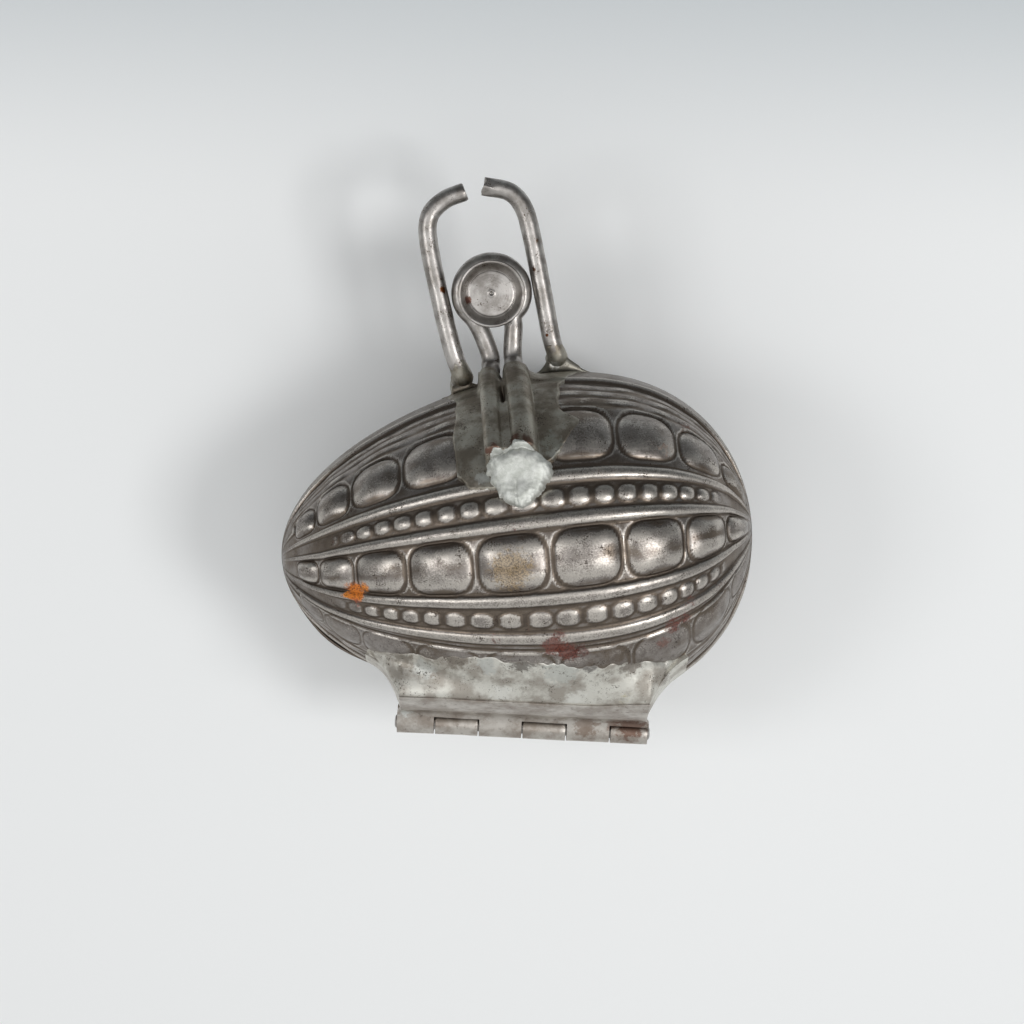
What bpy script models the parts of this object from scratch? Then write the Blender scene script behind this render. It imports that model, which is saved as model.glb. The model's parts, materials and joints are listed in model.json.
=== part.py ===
"""Hinged egg mould for chocolate: two pressed tinned-steel half shells.

The halves turn on a rolled-knuckle hinge and close with a wire loop that
snaps between the two wire arms of the back half.

Everything is drawn round the middle of the egg, on the plane where the halves
meet: +X runs along the hinge, +Y from the hinge to the wire handle, +Z is up,
away from the back half. The empty "mould" then sets the whole object down on
z = 0, centred in X and Y.
"""

import math

import bmesh
import bpy
from mathutils import Matrix, Vector

# The egg, measured over the sheet (metres)
EGG_LENGTH = 0.1015
EGG_WIDTH = 0.0704           # across, half way along
BLUNT_GROWTH = 0.208         # share by which the blunt end is fuller than the middle
BLUNT_ROUNDNESS = 0.052
EGG_SKEW = math.radians(7.1)  # the egg lies this far out of line with its hinge
SHEET = 0.0006
PARTING_GAP = 0.0003
REST_WEAR = 0.00025          # worn off the boss that the back half rests on

# Pressed pattern: the bosses' tops lie in the egg's own surface
BOSS_RISE = 0.0018           # over the floor between the bosses
RIB_DROP = 0.0005            # crests of ribs and beads lie below the bosses' tops
BEAD_DROP = 0.0003
PATTERN_FADE = 0.55          # the pattern flattens where the egg is thinner than this share
BOSSES = 9                   # in each row
BOSS_EDGE = 0.17             # share of a boss's length taken by its sloping end
BEADS = 2 * BOSSES - 2

# A gore runs from one boss row to the next; these lie across it, in shares of a gore
RIM_BAND = 11.0              # plain band along the rim, degrees
RIM_START = 1.755            # gores from the crown to the rim band
BOSS_TOP = 0.13              # half width of a boss's top
BOSS_FOOT = 0.235
RIB_PLACES = (0.30, 0.64)
BEAD_PLACE = 0.467
BEAD_FOOT = 0.075
RIM_FOLD = 0.049
PATTERN_SKEW = math.radians(2.2)  # the pattern was pressed this far out of line with the egg
TRIM_ANGLE = 92.0            # the sheet is pressed to here, then trimmed to the rim, degrees

# Rolled hinge
HINGE_MIDDLE = 0.0032
HINGE_LENGTH = 0.0546
KNUCKLES = 6
END_KNUCKLE = 0.0083
BARREL_DIAMETER = 0.0048
BARREL_STANDOFF = 0.0028     # from the fullest part of the egg to the barrel
LEAF_SHEET = 0.0007
LEAF_STANDOFF = 0.0011       # from the fullest part of the egg to the leaf
LEAF_TOP_ANGLE = math.radians(58.5)
LEAF_BEND_ANGLE = math.radians(80)
ROLL_WRAP = math.radians(288)
PIN_HEAD = 0.0004            # the pin's ends stand proud by this much

# Wire handle
WIRE = 0.00406
RING_OFFSET = -0.00124       # along the egg, from its middle
RING_REACH = 0.01875         # from the rim to the ring's centre
RING_RADIUS = 0.00665        # to the middle of the wire
RING_NECK = math.radians(40)  # the neck leaves the ring this far from its bottom
NECK_DROP = 0.0079           # from the ring's centre to half way into the neck
NECK_LEFT = -0.0029          # where the legs pass there, along from the ring's centre
NECK_RIGHT = 0.0041
LEG_GAP = 0.00084            # between the legs where they are soldered
LEG_MIDDLE = -0.00015
WIRE_END_ANGLE = 44.0        # degrees from the crown where the soldered wires stop
WIRE_BEND_ANGLE = 81.0       # where they leave the shell
WIRE_BEND = ((0.0011, 0.0024), (0.0031, 0.0005), (0.0058, 0.0))  # out from the rim, off the parting plane

# Arms of the back half: where they start along the egg, and their bends, each as
# (along from where the arm grips the ring, out from the rim)
LEFT_ARM = -0.0090
RIGHT_ARM = 0.0116
LEFT_BENDS = ((0, 0.0180), (-0.0015, 0.0303), (-0.0009, 0.0359), (0.0025, 0.0391), (0.0071, 0.0406))
RIGHT_BENDS = ((0, 0.0169), (-0.0016, 0.0303), (-0.0029, 0.0363), (-0.0056, 0.0398), (-0.0110, 0.0414))
ARM_LEAN = 0.55              # share of the straight stretch left above the bend out of the rim

# Dished cup on the ring
CUP_DIAMETER = 0.0144
CUP_WALL_SPREAD = 0.0020     # from the floor's edge out to the lip
CUP_HEIGHT = 0.0024
CUP_SHEET = 0.0006
CUP_DISH = 0.0005

# Solder
FLOOD = 0.0007               # thickness of solder run out over the sheet
FLOOD_START = math.radians(38)  # the hinge's solder runs up the shell to here, from the crown
FLOOD_REACH = 0.0068         # and this far past the hinge's ends
FLOOD_INSET = 0.001          # it starts to thin this far inside the hinge's ends
FLOOD_WANE = 0.8             # share of its height that it has lost at its ends
SADDLE_OVERLAP = 2.0         # solder runs this far past the wires' ends, degrees
SADDLE_FLANK = 0.68          # half width of the ridge over a wire, in wire diameters
SADDLE_SKIN = 0.0005         # solder over the top of a wire
ARM_APRON = 0.0032           # flat solder beside the ridges
LEG_APRON = 0.0073
BLOB_RADIUS = 0.0065
BLOB_HEIGHT = 0.0024
BLOB_OFFSET = 0.0023         # along the egg, from the middle of the legs
BLOB_WAVE = 0.05             # share by which its outline swells
SOLDER_END = math.radians(89.4)  # solder stops short of the rim
CLEARANCE = 0.0003           # kept between pieces that touch or run on each other

HALF_LENGTH = EGG_LENGTH / 2
GORE = (90 - RIM_BAND) / RIM_START
HINGE_START = HINGE_MIDDLE - HINGE_LENGTH / 2
HINGE_END = HINGE_MIDDLE + HINGE_LENGTH / 2
ROLL_RADIUS = (BARREL_DIAMETER - LEAF_SHEET) / 2
PIN_DIAMETER = BARREL_DIAMETER - 2 * LEAF_SHEET - 2 * CLEARANCE
NOTCH_HEIGHT = BARREL_DIAMETER / 2 + CLEARANCE  # a leaf is notched this far from the pin
WIRE_LIFT = WIRE / 2 + CLEARANCE
LEG_SPACING = WIRE + LEG_GAP
RING_CENTRE = Vector((RING_OFFSET, EGG_WIDTH / 2 + RING_REACH, 0))
ARM_GRIP = RING_RADIUS + WIRE + CLEARANCE
SOLDER_FLOOR = PARTING_GAP / 2
FRONT = 1
BACK = -1

TIN = (0.30, 0.29, 0.28)
SOLDER = (0.45, 0.46, 0.45)
BRIGHT_SOLDER = (0.72, 0.75, 0.77)
STEEL_WIRE = (0.40, 0.39, 0.38)


def clear_scene():
    for item in list(bpy.data.objects):
        bpy.data.objects.remove(item, do_unlink=True)


def make_collection(name):
    group = bpy.data.collections.new(name)
    bpy.context.scene.collection.children.link(group)
    return group


def make_material(name, colour, roughness, metallic):
    material = bpy.data.materials.new(name)
    material.use_nodes = True
    shader = material.node_tree.nodes["Principled BSDF"]
    shader.inputs["Base Color"].default_value = (*colour, 1)
    shader.inputs["Roughness"].default_value = roughness
    shader.inputs["Metallic"].default_value = metallic
    return material


def add_object(name, bm, group, material):
    """Turn a bmesh into a named object, shaded smooth over its round stretches."""
    mesh = bpy.data.meshes.new(name)
    bm.to_mesh(mesh)
    bm.free()
    item = bpy.data.objects.new(name, mesh)
    group.objects.link(item)
    mesh.materials.append(material)
    mesh.shade_smooth()
    mesh.set_sharp_from_angle(angle=math.radians(35))
    return item


def add_cutter(name, bm, group):
    mesh = bpy.data.meshes.new(name)
    bm.to_mesh(mesh)
    bm.free()
    cutter = bpy.data.objects.new(name, mesh)
    group.objects.link(cutter)
    cutter.hide_render = True
    cutter.display_type = "WIRE"
    return cutter


def add_block_cutter(name, group, size, centre):
    bm = bmesh.new()
    bmesh.ops.create_cube(bm, size=1)
    block = add_cutter(name, bm, group)
    block.scale = size
    block.location = centre
    return block


def cut(item, cutter):
    modifier = item.modifiers.new(cutter.name, "BOOLEAN")
    modifier.operation = "DIFFERENCE"
    modifier.solver = "EXACT"
    modifier.object = cutter


def from_egg_axes(point):
    """The egg's long axis is skewed from the hinge; turn its axes into the mould's."""
    return Matrix.Rotation(EGG_SKEW, 3, "Z") @ Vector(point)


def egg_radius(turn):
    t = math.sin(turn)
    return EGG_WIDTH / 2 * math.cos(turn) * (1 + BLUNT_GROWTH * t + BLUNT_ROUNDNESS * t * t)


def egg_point(turn, angle, lift, side):
    """A point lift above the egg's surface.

    turn runs from -90 degrees at the pointed end to 90 at the blunt end, angle
    is measured round the egg from the crown of the half, positive to the handle.
    """
    t = math.sin(turn)
    growth = 1 + BLUNT_GROWTH * t + BLUNT_ROUNDNESS * t * t
    growth_slope = (BLUNT_GROWTH + 2 * BLUNT_ROUNDNESS * t) * math.cos(turn)
    along = HALF_LENGTH * math.cos(turn)
    outward = EGG_WIDTH / 2 * (math.cos(turn) * growth_slope - math.sin(turn) * growth)
    normal = Vector((-outward, along)).normalized()
    radius = egg_radius(turn) + normal.y * lift
    x = HALF_LENGTH * t + normal.x * lift
    return from_egg_axes((x, radius * math.sin(angle), side * radius * math.cos(angle)))


def turn_at(across):
    """The turn at a distance along the egg from its middle."""
    return math.asin(max(-0.97, min(0.97, across / HALF_LENGTH)))


def over_floor(point, side):
    """Solder keeps clear of the parting plane."""
    return Vector((point.x, point.y, side * max(side * point.z, SOLDER_FLOOR)))


def boss_turn(share):
    """Where the bosses meet: share runs from -0.5 at the pointed end to 0.5."""
    return math.radians(-1.1 + 175.8 * share + 30.8 * share ** 2 - 106.4 * share ** 3)


def bead_turn(share):
    """Beads get smaller towards both ends."""
    return math.asin(math.tanh(0.04 + 1.92 * share + 0.23 * share ** 2))


def pattern_lines():
    """Lines along the egg, crown to rim: (degrees from the crown, kind, share of bead spacing)."""
    low_rib, high_rib = RIB_PLACES
    gore = [(BOSS_TOP, "boss", 0), (BOSS_FOOT, "floor", 0), (low_rib, "rib", 0.5)]
    gore += [(BEAD_PLACE - BEAD_FOOT, "floor", 1), (BEAD_PLACE, "bead", 1), (BEAD_PLACE + BEAD_FOOT, "floor", 1)]
    gore.append((high_rib, "rib", 0.5))
    lines = gore + [(1 - BOSS_FOOT, "floor", 0), (1 - BOSS_TOP, "boss", 0)]
    lines += [(1 + place, kind, share) for place, kind, share in gore]
    lines += [(RIM_START - RIM_FOLD, "floor", 0.5), (RIM_START, "rim", 0.5), (TRIM_ANGLE / GORE, "rim", 0.5)]
    return [(place * GORE, kind, share) for place, kind, share in lines]


def pattern_columns():
    """Stations along the egg: (place in the boss row, in the bead row, height on a boss, on a bead)."""
    places = []
    for boss in range(BOSSES):
        if boss in (0, BOSSES - 1):
            shape = ((0, 0), (0.5, 0.8))
        else:
            shape = ((0, 0), (BOSS_EDGE, 0.8), (0.5, 1), (1 - BOSS_EDGE, 0.8))
        places += [(boss + share, height) for share, height in shape]
    places.append((BOSSES, 0))
    columns = []
    for number, (place, height) in enumerate(places):
        bead = (number - 1 - BEADS) / 2
        columns.append((place / BOSSES - 0.5, bead / BEADS, height, number % 2))
    return columns


def row_swing(turn, angle):
    """Angle by which the skewed pattern moves a row of it round the egg."""
    lean = HALF_LENGTH * math.sin(turn) / max(egg_radius(turn), EGG_WIDTH / 4)
    return PATTERN_SKEW * lean * math.cos(angle)


def pattern_point(line, column, side):
    """One corner of the pressed sheet's outer surface; columns past the last run to the pole."""
    angle, kind, share = line
    columns = pattern_columns()
    last = len(columns) - 1
    boss_place, bead_place, boss_height, bead_height = columns[min(max(column, 0), last)]
    turn = (1 - share) * boss_turn(boss_place) + share * bead_turn(bead_place)
    if column < 0:
        turn -= (math.pi / 2 + turn) * -column / 2
    if column > last:
        turn = math.pi / 2
    drop = {
        "boss": BOSS_RISE * (1 - boss_height),
        "rib": RIB_DROP,
        "bead": BEAD_DROP if bead_height else BOSS_RISE,
        "floor": BOSS_RISE,
        "rim": 0,
    }[kind]
    fade = min(1.0, egg_radius(turn) / (PATTERN_FADE * EGG_WIDTH / 2))
    angle = math.radians(angle)
    return egg_point(turn, angle + row_swing(turn, angle), -drop * fade, side)


def make_shell(name, group, cutters, material, side):
    """Half of the egg: an open pressed surface, thickened inwards, trimmed at the rim."""
    lines = pattern_lines()
    lines = [(-angle, kind, share) for angle, kind, share in reversed(lines)] + lines
    if side == FRONT:
        lines.insert(len(lines) // 2, (0.0, "boss", 0))
    column_count = len(pattern_columns()) + 3
    bm = bmesh.new()
    bmesh.ops.create_grid(bm, x_segments=column_count - 1, y_segments=len(lines) - 1, size=1)
    for vertex in bm.verts:
        column = round((vertex.co.x + 1) / 2 * (column_count - 1)) - 2
        line = round((vertex.co.y + 1) / 2 * (len(lines) - 1))
        vertex.co = pattern_point(lines[line], column, side)
    bmesh.ops.remove_doubles(bm, verts=bm.verts, dist=0.00001)
    if side == BACK:
        bmesh.ops.reverse_faces(bm, faces=bm.faces)
        worn = min(vertex.co.z for vertex in bm.verts) + REST_WEAR
        for vertex in bm.verts:
            vertex.co.z = max(vertex.co.z, worn)
    bm.normal_update()
    shell = add_object(name, bm, group, material)
    solidify = shell.modifiers.new("sheet", "SOLIDIFY")
    solidify.thickness = SHEET
    solidify.offset = -1
    block = (2 * EGG_LENGTH, 2 * EGG_LENGTH, EGG_LENGTH)
    centre = (0, 0, side * (PARTING_GAP - EGG_LENGTH) / 2)
    cut(shell, add_block_cutter(name + "_trim", cutters, block, centre))
    return shell


def shell_turn(x, angle):
    """The turn at which the hinge side of the egg, at this angle, lies at x along the hinge."""
    turn = 0.0
    for _ in range(8):
        depth = egg_radius(turn) * math.sin(angle)
        turn = turn_at((x + depth * math.sin(EGG_SKEW)) / math.cos(EGG_SKEW))
    return turn


def fullest_flank():
    """How far the egg reaches, square to the hinge, where the leaves lie along it."""
    reaches = []
    for station in range(21):
        x = HINGE_START + HINGE_LENGTH * station / 20
        for share in (0, 0.25, 0.5, 0.75, 1):
            angle = -LEAF_TOP_ANGLE - (math.pi / 2 - LEAF_TOP_ANGLE) * share
            point = egg_point(shell_turn(x, angle), angle, 0, FRONT)
            reaches.append(math.hypot(point.y, point.z))
    return max(reaches)


FLANK = fullest_flank()
HINGE_OFFSET = FLANK + BARREL_STANDOFF + BARREL_DIAMETER / 2


def leaf_profile(side):
    """Middle line of a hinge leaf, across the hinge: from its free edge into the roll."""
    reach = FLANK + LEAF_STANDOFF + LEAF_SHEET / 2
    points = []
    for step in range(4):
        angle = LEAF_TOP_ANGLE + (LEAF_BEND_ANGLE - LEAF_TOP_ANGLE) * step / 3
        points.append((-reach * math.sin(angle), reach * math.cos(angle)))
    points.append((-HINGE_OFFSET + ROLL_RADIUS, NOTCH_HEIGHT))
    steps = 11
    for step in range(steps + 1):
        angle = -ROLL_WRAP * step / steps
        points.append((-HINGE_OFFSET + ROLL_RADIUS * math.cos(angle), ROLL_RADIUS * math.sin(angle)))
    return [(y, side * z) for y, z in points]


def knuckle_ends():
    """X of every knuckle joint, the hinge's two ends included."""
    middle = (HINGE_LENGTH - 2 * END_KNUCKLE) / (KNUCKLES - 2)
    first = HINGE_START + END_KNUCKLE
    return [HINGE_START] + [first + middle * step for step in range(KNUCKLES - 1)] + [HINGE_END]


def make_leaf(name, group, cutters, material, side):
    """Sheet leaf with its knuckles rolled round the pin, notched for the other leaf."""
    profile = leaf_profile(side)
    bm = bmesh.new()
    edges = []
    for x in (HINGE_START, HINGE_END):
        edges.append([bm.verts.new((x, y, z)) for y, z in profile])
    for near in range(len(profile) - 1):
        corners = (edges[0][near], edges[0][near + 1], edges[1][near + 1], edges[1][near])
        bm.faces.new(corners if side == FRONT else corners[::-1])
    bm.normal_update()
    leaf = add_object(name, bm, group, material)
    solidify = leaf.modifiers.new("sheet", "SOLIDIFY")
    solidify.thickness = LEAF_SHEET
    solidify.offset = 0
    solidify.use_even_offset = True
    ends = knuckle_ends()
    deep = 2 * BARREL_DIAMETER
    for knuckle in range(KNUCKLES):
        own = FRONT if knuckle % 2 == 0 else BACK
        if own == side:
            continue
        low = ends[knuckle] - CLEARANCE / 2 - (CLEARANCE if knuckle == 0 else 0)
        high = ends[knuckle + 1] + CLEARANCE / 2 + (CLEARANCE if knuckle == KNUCKLES - 1 else 0)
        centre = ((low + high) / 2, -HINGE_OFFSET, side * (NOTCH_HEIGHT - deep / 2))
        cut(leaf, add_block_cutter(f"{name}_notch_{knuckle}", cutters, (high - low, deep, deep), centre))
    return leaf


def make_pin(group, material):
    """Plain pin, its ends slightly proud of the outer knuckles."""
    bm = bmesh.new()
    bmesh.ops.create_cone(
        bm, cap_ends=True, segments=16, radius1=PIN_DIAMETER / 2, radius2=PIN_DIAMETER / 2,
        depth=HINGE_LENGTH + 2 * PIN_HEAD, matrix=Matrix.Rotation(math.pi / 2, 4, "Y"))
    pin = add_object("hinge_pin", bm, group, material)
    pin.location = (HINGE_MIDDLE, -HINGE_OFFSET, 0)
    return pin


def smooth_route(points):
    """Catmull-Rom curve through a route's own points, with one point added between each two."""
    points = [Vector(point) for point in points]
    padded = [2 * points[0] - points[1]] + points + [2 * points[-1] - points[-2]]
    route = []
    for a, b, c, d in zip(padded, padded[1:], padded[2:], padded[3:]):
        route += [b, (9 * (b + c) - a - d) / 16]
    return route + [points[-1]]


def shell_climb(across, side):
    """Wire laid on a half shell, from its soldered end down to the rim, then bent outwards."""
    turn = turn_at(across)
    points = []
    for angle in (WIRE_END_ANGLE, (WIRE_END_ANGLE + WIRE_BEND_ANGLE) / 2, WIRE_BEND_ANGLE):
        points.append(egg_point(turn, math.radians(angle), WIRE_LIFT, side))
    rim = egg_radius(turn) + WIRE_LIFT
    points += [from_egg_axes((across, rim + out, side * off)) for out, off in WIRE_BEND]
    return points


def loop_route():
    """The front loop: up one leg, round the ring and down the other."""
    left = shell_climb(LEG_MIDDLE - LEG_SPACING / 2, FRONT)
    right = shell_climb(LEG_MIDDLE + LEG_SPACING / 2, FRONT)
    for leg, across in ((left, NECK_LEFT), (right, NECK_RIGHT)):
        leg.append(from_egg_axes(RING_CENTRE + Vector((across, -NECK_DROP, 0))))
    steps = 10
    sweep = 2 * math.pi - 2 * RING_NECK
    ring = []
    for step in range(steps + 1):
        angle = -math.pi / 2 - RING_NECK - sweep * step / steps
        offset = Vector((math.cos(angle), math.sin(angle), 0)) * RING_RADIUS
        ring.append(from_egg_axes(RING_CENTRE + offset))
    return left + ring + right[::-1]


def arm_route(across, bends, heading):
    """A back arm: up the back shell, out from the rim, past the ring, and bent in over it."""
    grip = RING_CENTRE.x + heading * ARM_GRIP
    bends = [Vector((grip + along, EGG_WIDTH / 2 + out, 0)) for along, out in bends]
    points = shell_climb(across, BACK)
    rim = Vector((across, egg_radius(turn_at(across)), 0))
    points[-1] = from_egg_axes(bends[0] - (bends[0] - rim) * ARM_LEAN)
    return points + [from_egg_axes(bend) for bend in bends]


def wire_mesh(name, group, route, diameter):
    """Round wire along a route, as a closed mesh."""
    curve = bpy.data.curves.new(name, "CURVE")
    curve.dimensions = "3D"
    curve.bevel_depth = diameter / 2
    curve.bevel_resolution = 2
    curve.use_fill_caps = True
    spline = curve.splines.new("POLY")
    spline.points.add(len(route) - 1)
    for place, point in zip(spline.points, route):
        place.co = (*point, 1)
    guide = bpy.data.objects.new(name + "_route", curve)
    group.objects.link(guide)
    bpy.context.view_layer.update()
    mesh = bpy.data.meshes.new_from_object(guide.evaluated_get(bpy.context.evaluated_depsgraph_get()))
    bm = bmesh.new()
    bm.from_mesh(mesh)
    bmesh.ops.remove_doubles(bm, verts=bm.verts, dist=0.00001)
    bpy.data.meshes.remove(mesh)
    bpy.data.objects.remove(guide, do_unlink=True)
    return bm


def add_wire(name, group, route, material):
    return add_object(name, wire_mesh(name, group, route, WIRE), group, material)


def wire_channel(name, cutters, route):
    """Cutter for the room a soldered wire takes, clearance included."""
    start = route[0] + (route[0] - route[1]).normalized() * CLEARANCE
    bm = wire_mesh(name, cutters, [start] + route[1:], WIRE + 2 * CLEARANCE)
    return add_cutter(name, bm, cutters)


def loft(name, rings, group, material):
    """Closed solid through equal rings of points, capped at both ends."""
    bm = bmesh.new()
    rows = [[bm.verts.new(point) for point in ring] for ring in rings]
    count = len(rows[0])
    for row, following in zip(rows, rows[1:]):
        for step in range(count):
            after = (step + 1) % count
            bm.faces.new((row[step], row[after], following[after], following[step]))
    bm.faces.new(rows[0][::-1])
    bm.faces.new(rows[-1])
    bmesh.ops.triangulate(bm, faces=[face for face in bm.faces if len(face.verts) > 4])
    bmesh.ops.recalc_face_normals(bm, faces=bm.faces)
    return add_object(name, bm, group, material)


def on_shell_at(x, angle, rise, side):
    """A point rise above the shell, at x along the hinge and this angle on the hinge side."""
    return egg_point(shell_turn(x, angle), angle, CLEARANCE + rise, side)


def hinge_fill_ring(x, side):
    """Section of the solder between a leaf and the shell, at x along the hinge."""
    end_share = abs(x - HINGE_MIDDLE) / (HINGE_LENGTH / 2 + FLOOD_REACH)
    flood_start = FLOOD_START + (LEAF_TOP_ANGLE - FLOOD_START) * FLOOD_WANE * end_share ** 4
    flood = []
    for step in range(3):
        angle = -flood_start - (LEAF_TOP_ANGLE - flood_start) * step / 3
        flood.append(on_shell_at(x, angle, FLOOD, side))
    inner = []
    for step in range(6):
        angle = -flood_start - (SOLDER_END - flood_start) * step / 5
        inner.append(on_shell_at(x, angle, 0, side))
    reach = FLANK + LEAF_STANDOFF - CLEARANCE
    leaf_angles = (LEAF_TOP_ANGLE, (LEAF_TOP_ANGLE + LEAF_BEND_ANGLE) / 2, LEAF_BEND_ANGLE)
    leaf_side = [(-reach * math.sin(angle), reach * math.cos(angle)) for angle in leaf_angles]
    pin_side = -HINGE_OFFSET + BARREL_DIAMETER / 2 + CLEARANCE
    leaf_side += [(pin_side, NOTCH_HEIGHT), (pin_side, SOLDER_FLOOR)]
    past_end = max(HINGE_START - x, x - HINGE_END, -FLOOD_INSET) + FLOOD_INSET
    hold = (1 - past_end / (FLOOD_REACH + FLOOD_INSET)) ** 3
    outer = []
    for step, (y, z) in enumerate(leaf_side):
        angle = -LEAF_TOP_ANGLE - (SOLDER_END - LEAF_TOP_ANGLE) * step / 4
        outer.append(Vector((x, y, side * z)) * hold + on_shell_at(x, angle, FLOOD, side) * (1 - hold))
    return [over_floor(point, side) for point in flood + outer + inner[::-1]]


def make_hinge_fill(name, group, material, side):
    """Solder run in behind a hinge leaf and out over the shell."""
    stations = 14
    start = HINGE_START - FLOOD_REACH
    length = HINGE_LENGTH + 2 * FLOOD_REACH
    rings = [hinge_fill_ring(start + length * step / stations, side) for step in range(stations + 1)]
    return loft(name, rings, group, material)


def saddle_ring(angle, middle, humps, apron, side):
    """Section across a saddle of solder at one angle round the shell."""
    flank = WIRE * SADDLE_FLANK
    shoulder = WIRE * 0.45
    ridge = 2 * WIRE_LIFT + SADDLE_SKIN
    top = []
    for hump in humps:
        top += [(hump - flank, FLOOD * 2), (hump - shoulder, ridge * 0.8), (hump, ridge)]
        top += [(hump + shoulder, ridge * 0.8), (hump + flank, FLOOD * 2)]
    if len(humps) == 2:
        top = top[:4] + [(0.0, ridge * 0.82)] + top[-4:]
    edge = humps[-1] + flank
    half_width = edge + apron
    side_flat = [(edge + apron * 0.2, FLOOD), (half_width, FLOOD * 0.6)]
    top = [(-across, rise) for across, rise in reversed(side_flat)] + top + side_flat
    bottom = [(half_width * share, 0) for share in (1, 0.5, 0, -0.5, -1)]
    points = [egg_point(turn_at(middle + across), angle, CLEARANCE + rise, side) for across, rise in top + bottom]
    return [over_floor(point, side) for point in points]


def make_saddle(name, group, material, side, middle, humps, apron, channels):
    """Solder that holds wires down on a half shell, with a channel for each wire."""
    start = math.radians(WIRE_END_ANGLE - SADDLE_OVERLAP)
    stations = 6
    rings = []
    for step in range(stations + 1):
        angle = start + (SOLDER_END - start) * step / stations
        rings.append(saddle_ring(angle, middle, humps, apron, side))
    saddle = loft(name, rings, group, material)
    for channel in channels:
        cut(saddle, channel)
    return saddle


def make_end_blob(group, material):
    """Lump of solder where the loop's legs end: a low dome that follows the shell."""
    across = LEG_MIDDLE + BLOB_OFFSET
    middle_turn = turn_at(across)
    girth = egg_radius(middle_turn)
    centre = math.radians(WIRE_END_ANGLE - SADDLE_OVERLAP) - (BLOB_RADIUS * (1 + BLOB_WAVE) + CLEARANCE) / girth
    sectors = 16
    bm = bmesh.new()
    tops = []
    floors = []
    for share in (1.0, 0.75, 0.4):
        rise = BLOB_HEIGHT * math.sqrt(1 - 0.93 * share * share)
        top_row = []
        floor_row = []
        for sector in range(sectors):
            heading = 2 * math.pi * sector / sectors
            reach = BLOB_RADIUS * share * (1 + BLOB_WAVE * (math.sin(5 * heading) + 1.5 * math.sin(3 * heading + 1)))
            turn = turn_at(across + reach * math.cos(heading))
            angle = centre + reach * math.sin(heading) / girth
            top_row.append(bm.verts.new(egg_point(turn, angle, CLEARANCE + rise, FRONT)))
            floor_row.append(bm.verts.new(egg_point(turn, angle, CLEARANCE, FRONT)))
        tops.append(top_row)
        floors.append(floor_row)
    peak = bm.verts.new(egg_point(middle_turn, centre, CLEARANCE + BLOB_HEIGHT, FRONT))
    base = bm.verts.new(egg_point(middle_turn, centre, CLEARANCE, FRONT))
    rows = [[peak] * sectors] + tops[::-1] + floors + [[base] * sectors]
    for row, following in zip(rows, rows[1:]):
        for step in range(sectors):
            after = (step + 1) % sectors
            corners = [row[step], row[after], following[after], following[step]]
            bm.faces.new(list(dict.fromkeys(corners)))
    bmesh.ops.recalc_face_normals(bm, faces=bm.faces)
    return add_object("loop_end_solder", bm, group, material)


def cup_seat(under):
    """Height at which the cup's underside clears the ring's wire."""
    heights = []
    for (radius, height), (next_radius, next_height) in zip(under, under[1:]):
        for share in (0, 0.25, 0.5, 0.75):
            r = radius + (next_radius - radius) * share
            z = height + (next_height - height) * share
            wire_top = math.sqrt(max(0.0, (WIRE / 2) ** 2 - (r - RING_RADIUS) ** 2))
            heights.append(wire_top - z)
    return max(heights) + CLEARANCE


def make_cup(group, material):
    """Dished cup turned from sheet, standing on the ring."""
    rim = CUP_DIAMETER / 2
    floor = rim - CUP_WALL_SPREAD
    lip = CUP_SHEET * 0.75
    under = [(0, -CUP_DISH), (floor * 0.6, -CUP_DISH * 0.7), (floor, 0), (floor + CUP_SHEET, CUP_SHEET)]
    under += [(rim - lip, CUP_HEIGHT - lip), (rim, CUP_HEIGHT - lip / 2)]
    inside = [(rim - lip / 2, CUP_HEIGHT), (rim - 2 * lip, CUP_HEIGHT)]
    inside += [(floor + CUP_SHEET * 0.3, CUP_SHEET * 1.8), (floor - CUP_SHEET, CUP_SHEET)]
    inside += [(floor * 0.6, CUP_SHEET - CUP_DISH * 0.7), (0, CUP_SHEET - CUP_DISH)]
    profile = [(radius, 0, height) for radius, height in (under + inside)[::-1]]
    mesh = bpy.data.meshes.new("catch_cup")
    mesh.from_pydata(profile, [(point, point + 1) for point in range(len(profile) - 1)], [])
    mesh.materials.append(material)
    cup = bpy.data.objects.new("catch_cup", mesh)
    group.objects.link(cup)
    screw = cup.modifiers.new("turn", "SCREW")
    screw.steps = 20
    screw.render_steps = 20
    screw.use_merge_vertices = True
    screw.merge_threshold = 0.00001
    cup.location = from_egg_axes(RING_CENTRE + Vector((0, 0, cup_seat(under))))
    return cup


def parent_to(items, empty):
    for item in items:
        item.parent = empty
        item.location = item.location - empty.location


def add_empty(name, group, location):
    empty = bpy.data.objects.new(name, None)
    group.objects.link(empty)
    empty.location = location
    return empty


def object_box(items):
    """Lowest and highest corners of the finished pieces."""
    bpy.context.view_layer.update()
    graph = bpy.context.evaluated_depsgraph_get()
    corners = []
    for item in items:
        mesh = item.evaluated_get(graph).to_mesh()
        corners += [item.matrix_world @ vertex.co for vertex in mesh.vertices]
    low = Vector([min(corner[axis] for corner in corners) for axis in range(3)])
    high = Vector([max(corner[axis] for corner in corners) for axis in range(3)])
    return low, high


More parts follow.
